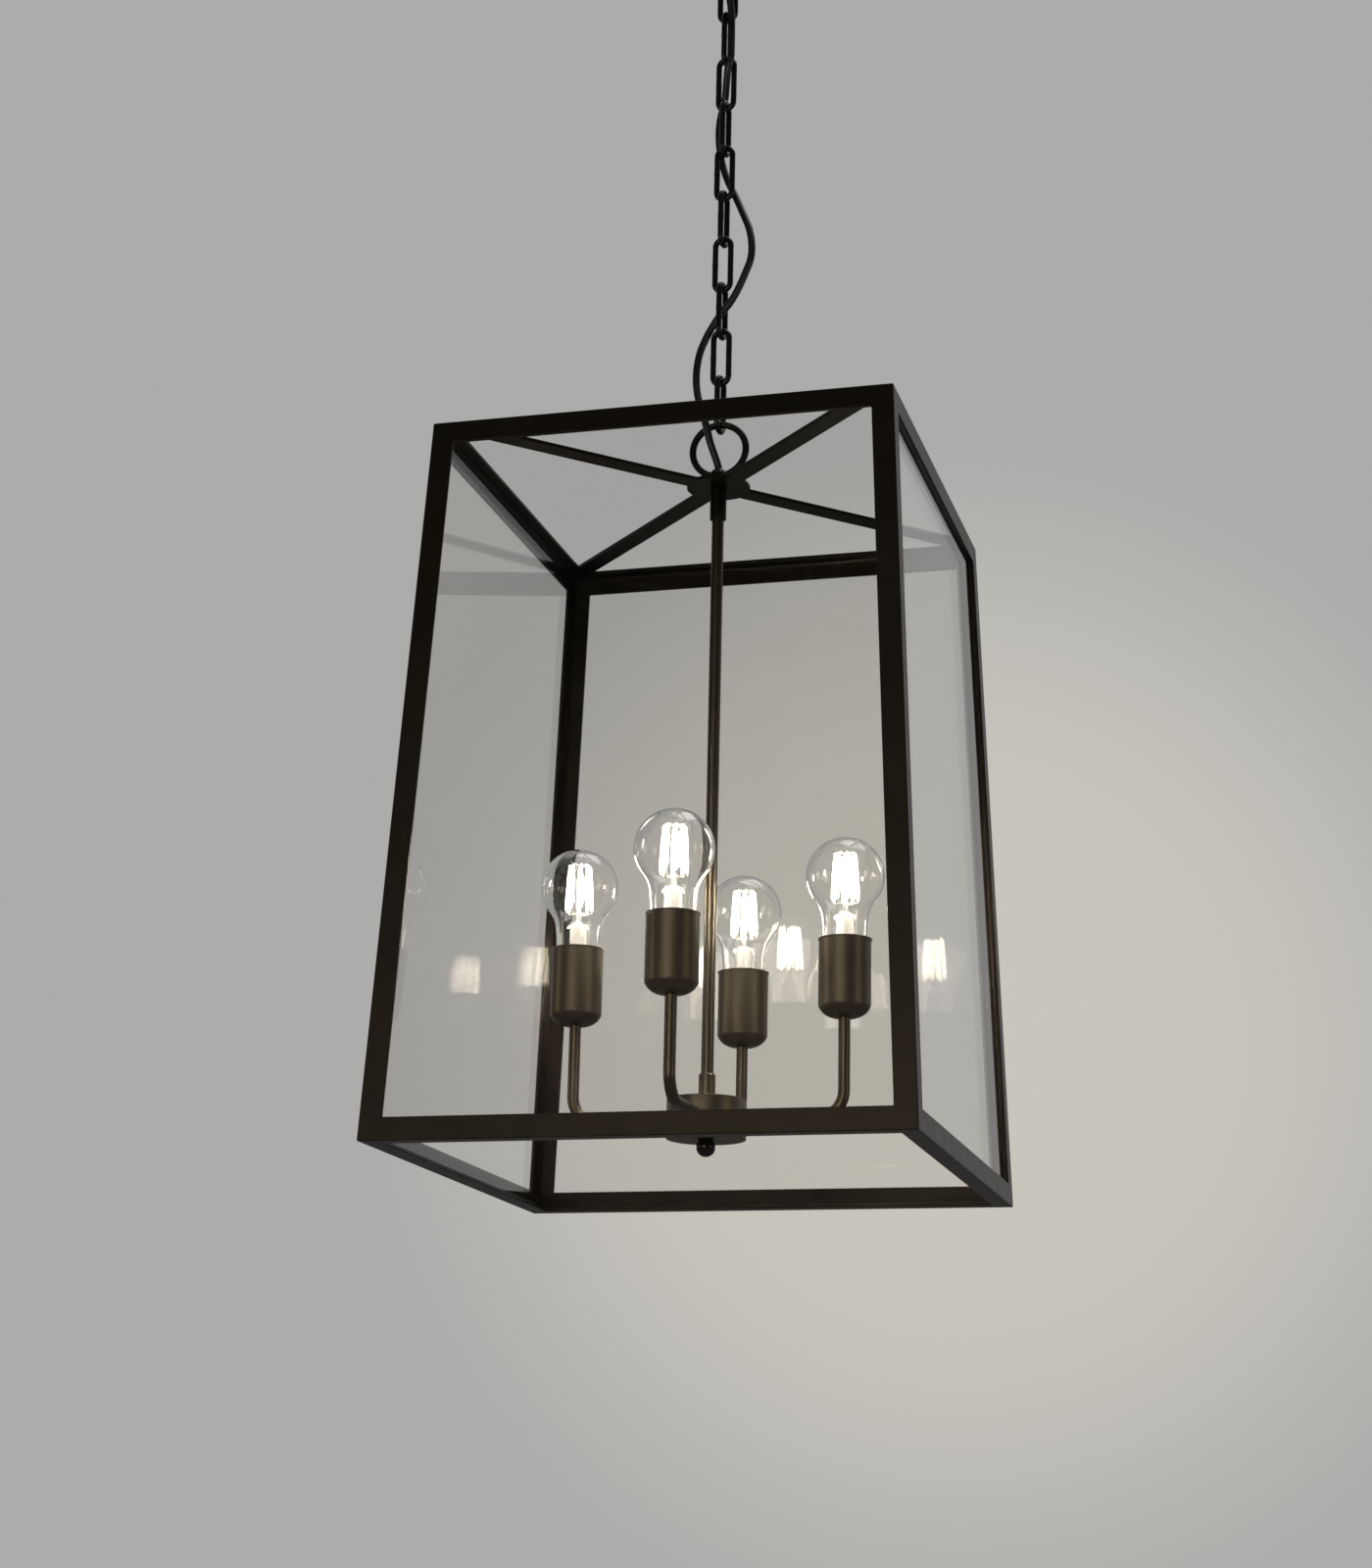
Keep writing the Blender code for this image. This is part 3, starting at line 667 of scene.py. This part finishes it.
def build_ring_cap():
    base, cap_r, bore = low("hub_cap").z, 8.15 * MM, 3.5 * MM
    dome_z = FOOT + 558.3 * MM
    end = math.degrees(math.acos((bore + 0.5 * MM) / cap_r))
    groove_r = cap_r - 0.25 * MM
    profile = [(bore, base), (cap_r - 0.3 * MM, base), (cap_r, base + 0.3 * MM), (cap_r, base + 2.2 * MM),
               (groove_r, base + 2.4 * MM), (groove_r, base + 2.7 * MM), (cap_r, base + 2.9 * MM)]
    profile += arc(0, dome_z, cap_r, 0, end, 14)
    profile += [(bore, profile[-1][1] - 0.5 * MM)]
    turned("ring_cap", profile, "frame", "lantern", "hub_cap")


def build_rod():
    """The centre tube and the couplings at its ends."""
    lowest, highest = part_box("rod_collar_top")
    collar_r, bore, slip = highest.x, 3.5 * MM, ROD_R + 0.1 * MM
    under = FOOT + 538.0 * MM
    profile = [(2.0 * MM, highest.z), (2.0 * MM, under), (slip, under), (slip, lowest.z),
               (collar_r - 1.0 * MM, lowest.z), (collar_r, lowest.z + 1.0 * MM),
               (collar_r, under - 0.25 * MM), (collar_r - 0.35 * MM, under), (collar_r, under + 0.25 * MM),
               (collar_r, TOP - 0.3 * MM), (collar_r - 0.3 * MM, TOP), (3.2 * MM, TOP), (3.2 * MM, highest.z)]
    turned("upper_coupling", profile, "frame", "lantern", "rod_collar_top", soft=0.15 * MM)

    lowest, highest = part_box("centre_rod")
    profile = [(bore, lowest.z), (ROD_R, lowest.z), (ROD_R, highest.z), (bore, highest.z)]
    turned("centre_tube", profile, "tube", "lantern", "centre_rod", soft=0.2 * MM)

    lowest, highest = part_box("rod_collar_bottom")
    collar_r, seat = highest.x, lowest.z + 1.2 * MM
    profile = [(bore, lowest.z), (collar_r, lowest.z), (collar_r, highest.z - 1.2 * MM),
               (collar_r - 0.9 * MM, highest.z), (slip, highest.z), (slip, seat), (bore, seat)]
    turned("lower_coupling", profile, "bronze", "lantern", "rod_collar_bottom", soft=0.2 * MM)


# ---------------------------------------------------------------- frame, cross and glass
def half_width(z):
    return BASE_HALF + (TOP_HALF - BASE_HALF) * (z - FOOT) / BODY_H


def build_frame():
    """The welded angle frame as one closed skin, so that its corners run together without seams."""
    work = bmesh.new()
    corners = {}

    def corner(side, across, out, z):
        nx, ny = side
        place = (out * nx - across * ny, out * ny + across * nx, z)
        key = tuple(round(c / MM, 2) for c in place)
        if key not in corners:
            corners[key] = work.verts.new(place)
        return corners[key]

    def loop(side, low_z, high_z, less, inset):
        """Four corners on one side's plane, less from its edges and inset behind its face."""
        ends = [(z, half_width(z)) for z in (low_z, high_z)]
        (z0, h0), (z1, h1) = ends
        return [corner(side, -(h0 - less), h0 - inset, z0), corner(side, h0 - less, h0 - inset, z0),
                corner(side, h1 - less, h1 - inset, z1), corner(side, -(h1 - less), h1 - inset, z1)]

    for side in ((0, -1), (1, 0), (0, 1), (-1, 0)):
        loops = [
            loop(side, FOOT, TOP, 0, 0),
            loop(side, FOOT + LEG, TOP - LEG, LEG, 0),
            loop(side, FOOT + LEG, TOP - LEG, LEG, LEG_T),
            loop(side, FOOT + LEG_T, TOP - LEG_T, LEG_T, LEG_T),
        ]
        for a, b in zip(loops, loops[1:]):
            for k in range(4):
                n = (k + 1) % 4
                work.faces.new((a[k], a[n], b[n], b[k]))
        # The flat legs that run inwards at the foot and at the top
        for end, z, inner_z in ((0, FOOT, FOOT + LEG_T), (2, TOP, TOP - LEG_T)):
            half = half_width(z) - LEG_FLAT
            order = (-half, half) if end == 0 else (half, -half)
            edge = [corner(side, s, half, z) for s in order]
            back = [corner(side, s, half, inner_z) for s in order]
            strips = [loops[0][end:end + 2], edge, back, loops[3][end:end + 2]]
            for a, b in zip(strips, strips[1:]):
                work.faces.new((a[0], a[1], b[1], b[0]))
    nodes = ["top_frame", "bottom_frame"] + [n for n in frame["nodes"] if n.startswith("post_")]
    piece = finish_piece("welded_frame", work, "frame", "lantern", nodes)
    bevelled(piece, 0.7 * MM)


def build_cross():
    lowest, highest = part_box("top_cross")
    edge = highest.x * math.sqrt(2)
    half, disc = 8.0 * MM, 25.3 * MM
    spread = math.asin(half / disc)
    outline = []
    for k in range(4):
        turn = math.pi / 4 + k * math.pi / 2
        c, s = math.cos(turn), math.sin(turn)
        for along, side in ((edge - half, -half), (edge, 0), (edge - half, half)):
            outline.append((along * c - side * s, along * s + side * c))
        for n in range(13):
            angle = turn + spread + (math.pi / 2 - 2 * spread) * n / 12
            outline.append((disc * math.cos(angle), disc * math.sin(angle)))
    work = bmesh.new()
    add_prism(work, [(*p, lowest.z) for p in outline], [(*p, highest.z) for p in outline])
    piece = finish_piece("crossed_bars", work, "frame", "lantern", "top_cross", sharp=20)
    bevelled(piece, 0.5 * MM, 2, 50)


def build_panes():
    inset, glass = LEG_T + 0.3 * MM, 3.0 * MM
    sides = {"front": (0, -1), "right": (1, 0), "back": (0, 1), "left": (-1, 0)}
    for name, (nx, ny) in sides.items():
        node = "glass_pane_" + name
        ends = []
        for z in (low(node).z, high(node).z):
            outer = half_width(z) - inset
            half = outer - glass - 0.5 * MM
            corners = [(-half, outer), (half, outer), (half, outer - glass), (-half, outer - glass)]
            ends.append([(s * -ny + d * nx, s * nx + d * ny, z) for s, d in corners])
        work = bmesh.new()
        add_prism(work, ends[0], ends[1])
        bmesh.ops.bevel(work, geom=list(work.edges), offset=0.35 * MM, segments=1, affect="EDGES")
        finish_piece("pane_" + name, work, "pane", "lantern", node, sharp=20)


# ---------------------------------------------------------------- lamp cluster
def build_cluster():
    lowest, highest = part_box("cluster_body")
    radius, wall = highest.x, 1.5 * MM
    profile = [(3.0 * MM, highest.z), (3.0 * MM, highest.z - wall), (radius - wall, highest.z - wall),
               (radius - wall, lowest.z), (radius, lowest.z), (radius, highest.z)]
    turned("cluster_drum", profile, "bronze", "lantern", "cluster_body", sides=128,
           soft=0.6 * MM)
    lowest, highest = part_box("cluster_lid")
    profile = [(2.5 * MM, lowest.z), (radius, lowest.z), (radius, highest.z), (2.5 * MM, highest.z)]
    turned("cluster_base", profile, "bronze", "lantern", "cluster_lid", sides=128,
           soft=0.5 * MM)

    lowest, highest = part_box("finial")
    ball, stud_r = 7.3 * MM, 2.2 * MM
    seat = low("cluster_lid").z - 0.2 * MM
    profile = [(0, lowest.z)] + arc(0, lowest.z + ball, ball, -86, 33, 24)
    profile += [(6.1 * MM, seat), (stud_r, seat), (stud_r, highest.z), (0, highest.z)]
    turned("ball_finial", profile, "finial", "lantern", "finial")
    terminal_block("cluster_terminals", "cluster_terminal_block", "lantern")


def build_arm(n, out):
    """A tube from the drum that runs level, bends upwards and ends in its cup."""
    lowest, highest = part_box(f"arm_{n}")
    tube_r, bend, start = 4.5 * MM, 19.5 * MM, 27.7 * MM
    reach = middle(f"lamp_cup_{n}").xy.length
    z = lowest.z + tube_r
    path = []
    for k in range(9):
        path.append(out * (start + (reach - bend - start) * k / 8) + Vector((0, 0, z)))
    for k in range(1, 25):
        turn = math.pi / 2 * k / 24
        rise = Vector((0, 0, z + bend * (1 - math.cos(turn))))
        path.append(out * (reach - bend + bend * math.sin(turn)) + rise)
    for k in range(1, 9):
        path.append(out * reach + Vector((0, 0, z + bend + (highest.z - z - bend) * k / 8)))
    work = bmesh.new()
    add_tube(work, path, tube_r, 32)
    finish_piece(f"bent_arm_{n}", work, "tube", "lantern", f"arm_{n}")


def build_cup(n, place):
    lowest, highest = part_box(f"lamp_cup_{n}")
    lip, radius, wall = (highest.x - lowest.x) / 2, 19.85 * MM, 1.2 * MM
    bottom, top = lowest.z, highest.z
    shoulder = bottom + 8.5 * MM
    # The dish under the shoulder curves from the flat base up to a crisp edge
    dish = [(9.3, 0.0), (12.2, 0.9), (14.9, 2.3), (17.2, 4.3), (18.8, 6.4), (19.5, 7.9)]
    profile = [(3.0 * MM, bottom)] + [(r * MM, bottom + up * MM) for r, up in dish]
    profile += [(radius, shoulder + 0.2 * MM), (radius, top - 1.3 * MM), (radius + 0.15 * MM, top - 1.0 * MM),
                (lip - 0.1 * MM, top - 0.75 * MM), (lip, top - 0.55 * MM), (lip, top - 0.15 * MM),
                (lip - 0.15 * MM, top), (radius - wall + 0.2 * MM, top), (radius - wall, top - 0.2 * MM),
                (radius - wall, shoulder)]
    profile += [((r - 1.0) * MM, bottom + (up + 1.2) * MM) for r, up in reversed(dish)]
    profile += [(3.0 * MM, bottom + wall)]
    node = f"lamp_cup_{n}"
    turned(f"cup_shell_{n}", profile, "bronze", "lantern", node, place, 96, sharp=32)


def build_holder(n, place):
    """The porcelain lampholder, with a step round its mouth."""
    node = f"lampholder_{n}"
    lowest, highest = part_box(node)
    outer, bore, step = (highest.x - lowest.x) / 2, 13.45 * MM, 1.2 * MM
    seat = low(f"bulb_cap_{n}").z - 0.3 * MM
    profile = [(0, lowest.z), (outer, lowest.z), (outer, highest.z - 2.0 * MM),
               (outer - step, highest.z - 1.6 * MM), (outer - step, highest.z), (bore, highest.z),
               (bore, seat), (0, seat)]
    turned(f"screw_holder_{n}", profile, "white", "lantern", node, place, soft=0.4 * MM)


def build_bulb_cap(n, place):
    """The screw cap: a rolled thread above a dark insulator and a centre contact."""
    lowest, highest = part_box(f"bulb_cap_{n}")
    body = f"bulb_{n}_cap"
    pitch, sides = 3.629 * MM, 64
    thread_low, thread_high = lowest.z + 6.5 * MM, highest.z - 2.5 * MM
    steps = 72
    work = bmesh.new()
    rings = []
    # Each ring has a radius, a height and the depth of its thread wave, which fades in and out
    outline = [(11.6 * MM, lowest.z + 4.6 * MM, 0.0)]
    for k in range(steps + 1):
        z = thread_low + (thread_high - thread_low) * k / steps
        fade = min(1.0, 6 * k / steps, 6 * (steps - k) / steps)
        outline.append((12.65 * MM, z, 0.5 * MM * fade))
    outline += [(12.9 * MM, highest.z - 0.8 * MM, 0.0), (13.1 * MM, highest.z - 0.2 * MM, 0.0),
                (12.8 * MM, highest.z, 0.0)]
    for radius, z, depth in outline:
        ring = []
        for s in range(sides):
            turn = 2 * math.pi * s / sides
            r = radius + depth * math.cos(2 * math.pi * z / pitch - turn)
            ring.append(work.verts.new((place[0] + r * math.cos(turn), place[1] + r * math.sin(turn), z)))
        rings.append(ring)
    join_rings(work, rings)
    finish_piece(f"screw_cap_{n}", work, "cap", body, f"bulb_cap_{n}", 60)
    foot = [(0, lowest.z + 0.6 * MM), (4.6 * MM, lowest.z + 0.7 * MM), (7.5 * MM, lowest.z + 2.0 * MM),
            (11.2 * MM, lowest.z + 4.5 * MM), (0, lowest.z + 4.5 * MM)]
    turned(f"cap_insulator_{n}", foot, "grip", body, None, place, 48)
    contact = [(0, lowest.z), (3.6 * MM, lowest.z + 0.1 * MM), (4.2 * MM, lowest.z + 0.55 * MM),
               (0, lowest.z + 0.55 * MM)]
    turned(f"cap_contact_{n}", contact, "wire", body, None, place, 32)


def build_bulb_glass(n, place):
    """A thin-walled envelope: a narrow neck that opens into a ball."""
    node = f"bulb_glass_{n}"
    lowest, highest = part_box(node)
    ball, wall = 30.0 * MM, 0.7 * MM
    neck = [(13.4, 0.0), (14.2, 3.5), (15.4, 7.5), (16.3, 12.0), (16.7, 18.0), (17.1, 24.0), (17.7, 30.0),
            (18.8, 34.5), (20.4, 38.0)]
    ball_start, ball_end, steps = -42.0, 89.0, 40
    outer = [Vector((r * MM, lowest.z + up * MM, 0)) for r, up in neck]
    outer += [Vector((r, z, 0)) for r, z in arc(0, highest.z - ball, ball, ball_start, ball_end, steps)]
    smooth = through_points(outer[: len(neck) + 1], 4)[:-1] + outer[len(neck):]
    inner = []
    for k, point in enumerate(smooth):
        before, after = smooth[max(k - 1, 0)], smooth[min(k + 1, len(smooth) - 1)]
        along = (after - before).normalized()
        inner.append(point + Vector((-along.y, along.x, 0)) * wall)
    profile = [(p.x, p.y) for p in smooth] + [(0, highest.z), (0, highest.z - wall)]
    profile += [(max(p.x, 0.2 * MM), p.y) for p in reversed(inner)]
    turned(f"blown_glass_{n}", profile, "bulb", f"bulb_{n}", node, place, 96, sharp=60)


def build_stem(n, place):
    """The stem flares out to the neck, and a thin tube carries on to the crown of the filaments."""
    base = low(f"bulb_glass_{n}").z + 0.6 * MM
    tube_r, tube_top = 1.9 * MM, FOOT + 207.5 * MM
    stem = [(11.6 * MM, base), (9.0 * MM, base + 3.5 * MM), (7.2 * MM, base + 9 * MM),
            (6.6 * MM, base + 16 * MM), (6.4 * MM, STEM_TOP - 5 * MM), (5.4 * MM, STEM_TOP - 1.6 * MM),
            (2.6 * MM, STEM_TOP), (tube_r, STEM_TOP + 3 * MM), (tube_r, tube_top),
            (0, tube_top + 1 * MM), (0, STEM_TOP - 1.5 * MM), (4.6 * MM, STEM_TOP - 3 * MM),
            (5.6 * MM, STEM_TOP - 6 * MM), (5.8 * MM, base + 16 * MM), (6.4 * MM, base + 9 * MM),
            (8.2 * MM, base + 3.5 * MM), (10.8 * MM, base)]
    turned(f"glass_stem_{n}", stem, "stem", f"bulb_{n}", None, place, 48, sharp=60)


def build_filament(n, place):
    """Eight lit sticks that lean in to a crown, with the wires that hold and feed them."""
    axis = Vector((place[0], place[1], 0))
    base = low(f"bulb_glass_{n}").z + 0.6 * MM
    sticks, wires = bmesh.new(), bmesh.new()
    count, foot_z, head_z = 8, FOOT + 207.8 * MM, FOOT + 243.2 * MM
    foot_r, head_r, stick_r = 10.0 * MM, 7.9 * MM, 1.15 * MM
    pin_r, hair_r = 0.42 * MM, 0.22 * MM
    crown = axis + Vector((0, 0, head_z + 0.6 * MM))
    for k in range(count):
        turn = 2 * math.pi * (k + 0.5) / count
        out = Vector((math.cos(turn), math.sin(turn), 0))
        foot = axis + out * foot_r + Vector((0, 0, foot_z))
        head = axis + out * head_r + Vector((0, 0, head_z))
        along = (head - foot).normalized()
        stick = [foot + (head - foot) * s / 10 for s in range(11)]
        radii = [stick_r * min(1.0, 0.55 + 2.0 * min(s, 10 - s) / 10) for s in range(11)]
        add_tube(sticks, stick, stick_r, 12, radii=radii)
        low_end = foot - along * 2.0 * MM
        stem_side = axis + out * 1.9 * MM + Vector((0, 0, FOOT + 204.5 * MM))
        add_tube(wires, [low_end, foot - along * 0.05 * MM], pin_r, 8)
        add_tube(wires, [head + along * 0.05 * MM, head + along * 1.3 * MM], pin_r, 8)
        add_tube(wires, [low_end, stem_side], hair_r, 6)
        add_tube(wires, [head + along * 1.2 * MM, crown + out * 0.8 * MM], hair_r, 6)
    add_tube(wires, [axis + Vector((0, 0, FOOT + 208.5 * MM)), crown], 0.30 * MM, 8)
    for side in (-1, 1):
        lead = [axis + Vector((side * 3.2 * MM, 0, base + 1 * MM)),
                axis + Vector((side * 2.6 * MM, 0, STEM_TOP - 6 * MM)),
                axis + Vector((side * 1.0 * MM, 0, STEM_TOP - 3.4 * MM))]
        add_tube(wires, lead, 0.3 * MM, 8)
    body = f"bulb_{n}"
    finish_piece(f"filament_sticks_{n}", sticks, "filament", body, f"bulb_filament_{n}", 60)
    finish_piece(f"filament_wires_{n}", wires, "wire", body, None, 60)


# ---------------------------------------------------------------- stage
def emitter(name, color, strength):
    material = bpy.data.materials.new(name)
    material.use_nodes = True
    tree = material.node_tree
    tree.nodes.clear()
    glow_node = tree.nodes.new("ShaderNodeEmission")
    glow_node.inputs["Color"].default_value = (*color, 1)
    glow_node.inputs["Strength"].default_value = strength
    tree.links.new(glow_node.outputs[0], tree.nodes.new("ShaderNodeOutputMaterial").inputs["Surface"])
    return material


def wall_panel(name, radius, start, end, z0, z1, material, steps=24):
    """An upright curved panel round the object that only its gloss sees, as studio flags are."""
    verts, faces = [], []
    for k in range(steps + 1):
        turn = math.radians(start + (end - start) * k / steps)
        x, y = radius * math.sin(turn), -radius * math.cos(turn)
        verts += [(x, y, z0), (x, y, z1)]
    for k in range(steps):
        faces.append((2 * k, 2 * k + 2, 2 * k + 3, 2 * k + 1))
    mesh = bpy.data.meshes.new(name)
    mesh.from_pydata(verts, [], faces)
    mesh.materials.append(material)
    panel = bpy.data.objects.new(name, mesh)
    bpy.context.scene.collection.objects.link(panel)
    panel.visible_camera = False
    panel.visible_diffuse = False
    panel.visible_transmission = False
    panel.visible_shadow = False


def area_light(name, place, target, size, power, color):
    data = bpy.data.lights.new(name, "AREA")
    data.shape = "RECTANGLE"
    data.size, data.size_y = size
    data.energy = power
    data.color = color
    light = bpy.data.objects.new(name, data)
    bpy.context.scene.collection.objects.link(light)
    light.location = place
    light.rotation_mode = "QUATERNION"
    light.rotation_quaternion = (Vector(target) - Vector(place)).to_track_quat("-Z", "Y")
    light.visible_camera = False
    return light


def strip_lit_pieces():
    """The painted metal, flex and bulb glass that the strips light; the panes would mirror the strips."""
    group = bpy.data.collections.new("strip_lit")
    looks = {LOOKS[k].name for k in ("frame", "bronze", "tube", "chain", "finial", "rose", "cord", "bulb")}
    for obj in bpy.data.objects:
        if obj.type == "MESH" and obj.active_material and obj.active_material.name in looks:
            group.objects.link(obj)
    return group


def light_world():
    """An even grey studio with a warm pool of light on the far wall, dark below the horizon."""
    world = bpy.data.worlds.new("studio")
    bpy.context.scene.world = world
    world.use_nodes = True
    tree = world.node_tree
    back = tree.nodes["Background"]
    coords = tree.nodes.new("ShaderNodeTexCoord")
    # The pool lies low and to the right of the lantern
    pool = tree.nodes.new("ShaderNodeVectorMath")
    pool.operation = "DOT_PRODUCT"
    pool.inputs[1].default_value = Vector((-0.174, 0.975, 0.186)).normalized()
    tree.links.new(coords.outputs["Generated"], pool.inputs[0])
    pool_angle = 12.3
    fade = tree.nodes.new("ShaderNodeMapRange")
    fade.interpolation_type = "SMOOTHSTEP"
    fade.inputs["From Min"].default_value = math.cos(math.radians(pool_angle))
    fade.inputs["From Max"].default_value = 1.0
    tree.links.new(pool.outputs["Value"], fade.inputs["Value"])
    mix = tree.nodes.new("ShaderNodeMix")
    mix.data_type = "RGBA"
    mix.inputs["A"].default_value = (0.412, 0.410, 0.405, 1)
    mix.inputs["B"].default_value = (0.580, 0.560, 0.505, 1)
    tree.links.new(fade.outputs["Result"], mix.inputs["Factor"])
    # The dark ground keeps undersides from looking lit from the floor
    height = tree.nodes.new("ShaderNodeSeparateXYZ")
    tree.links.new(coords.outputs["Generated"], height.inputs[0])
    drop = tree.nodes.new("ShaderNodeMapRange")
    drop.inputs["From Min"].default_value = -0.13
    drop.inputs["From Max"].default_value = -0.04
    tree.links.new(height.outputs["Z"], drop.inputs["Value"])
    ground = tree.nodes.new("ShaderNodeMix")
    ground.data_type = "RGBA"
    ground.inputs["A"].default_value = (0.10, 0.095, 0.088, 1)
    tree.links.new(drop.outputs["Result"], ground.inputs["Factor"])
    tree.links.new(mix.outputs["Result"], ground.inputs["B"])
    tree.links.new(ground.outputs["Result"], back.inputs["Color"])


def lay_floor(floor_z):
    mesh = bpy.data.meshes.new("floor")
    reach = 30.0
    corners = [(x * reach, y * reach, floor_z) for x, y in ((-1, -1), (1, -1), (1, 1), (-1, 1))]
    mesh.from_pydata(corners, [], [(0, 1, 2, 3)])
    look = Nodes("studio_floor")
    stops = [(0.3, (0.84, 0.83, 0.81)), (0.7, (0.88, 0.87, 0.85))]
    look.set(Base_Color=look.ramp(look.noise(0.6), stops), Roughness=0.8)
    mesh.materials.append(look.material)
    floor = bpy.data.objects.new("floor", mesh)
    bpy.context.scene.collection.objects.link(floor)
    floor.visible_glossy = False


def stand_flags(floor_z):
    """Dark panels round the front half, so that the metal and glass mirror a dim room."""
    dark = emitter("flag_dark", (0.002, 0.002, 0.002), 1.0)
    dim = emitter("flag_dim", (0.03, 0.026, 0.02), 1.0)
    radius, spread = 4.0, 112
    edge_z, flag_top = FOOT + 1.4, 5.5
    wall_panel("flag_high", radius, -spread, spread, edge_z, flag_top, dark)
    wall_panel("flag_low", radius, -spread, spread, floor_z, edge_z, dim)


def hang_lights():
    """Upright warm strips that draw the highlights, and a soft light over the rose."""
    distance, strip_z, strip_h = 3.8, FOOT + 0.2, 1.2
    warm, soft = (1.0, 0.92, 0.77), (1.0, 0.98, 0.95)
    receivers = strip_lit_pieces()
    # Each strip has an azimuth from the front, a width and a power
    strips = ((-74, 0.8, 7.0), (-7, 2.6, 26.0), (73, 0.8, 8.0))
    for number, (azimuth, width, power) in enumerate(strips):
        turn = math.radians(azimuth)
        place = Vector((distance * math.sin(turn), -distance * math.cos(turn), strip_z))
        light = area_light(f"strip_{number}", place, (0, 0, strip_z), (width, strip_h), power, warm)
        light.light_linking.receiver_collection = receivers
    area_light("top_soft", (0.6, 0.8, 2.2), (0, 0, -0.8), (2.0, 2.0), 30, soft)


def build_stage():
    floor_z = FOOT - 0.85
    light_world()
    lay_floor(floor_z)
    stand_flags(floor_z)
    hang_lights()
    scene = bpy.context.scene
    scene.view_settings.view_transform = "Standard"
    scene.cycles.sample_clamp_indirect = 25.0
    scene.cycles.transparent_max_bounces = 48
    scene.cycles.max_bounces = 20
    scene.cycles.transmission_bounces = 20


# ---------------------------------------------------------------- everything
make_camera()
build_cord()
build_rose_cup()
build_bracket()
build_hook_loop()
build_cord_grip()
terminal_block("rose_terminals", "rose_terminal_block", "rose")
build_links()
build_ring()
build_ring_cap()
build_rod()
build_frame()
build_cross()
build_panes()
build_cluster()
for lamp in LAMPS:
    centre = middle(f"lamp_cup_{lamp}")
    spot = (centre.x, centre.y)
    build_arm(lamp, Vector((centre.x, centre.y, 0)).normalized())
    build_cup(lamp, spot)
    build_holder(lamp, spot)
    build_bulb_cap(lamp, spot)
    build_bulb_glass(lamp, spot)
    build_stem(lamp, spot)
    build_filament(lamp, spot)
build_stage()
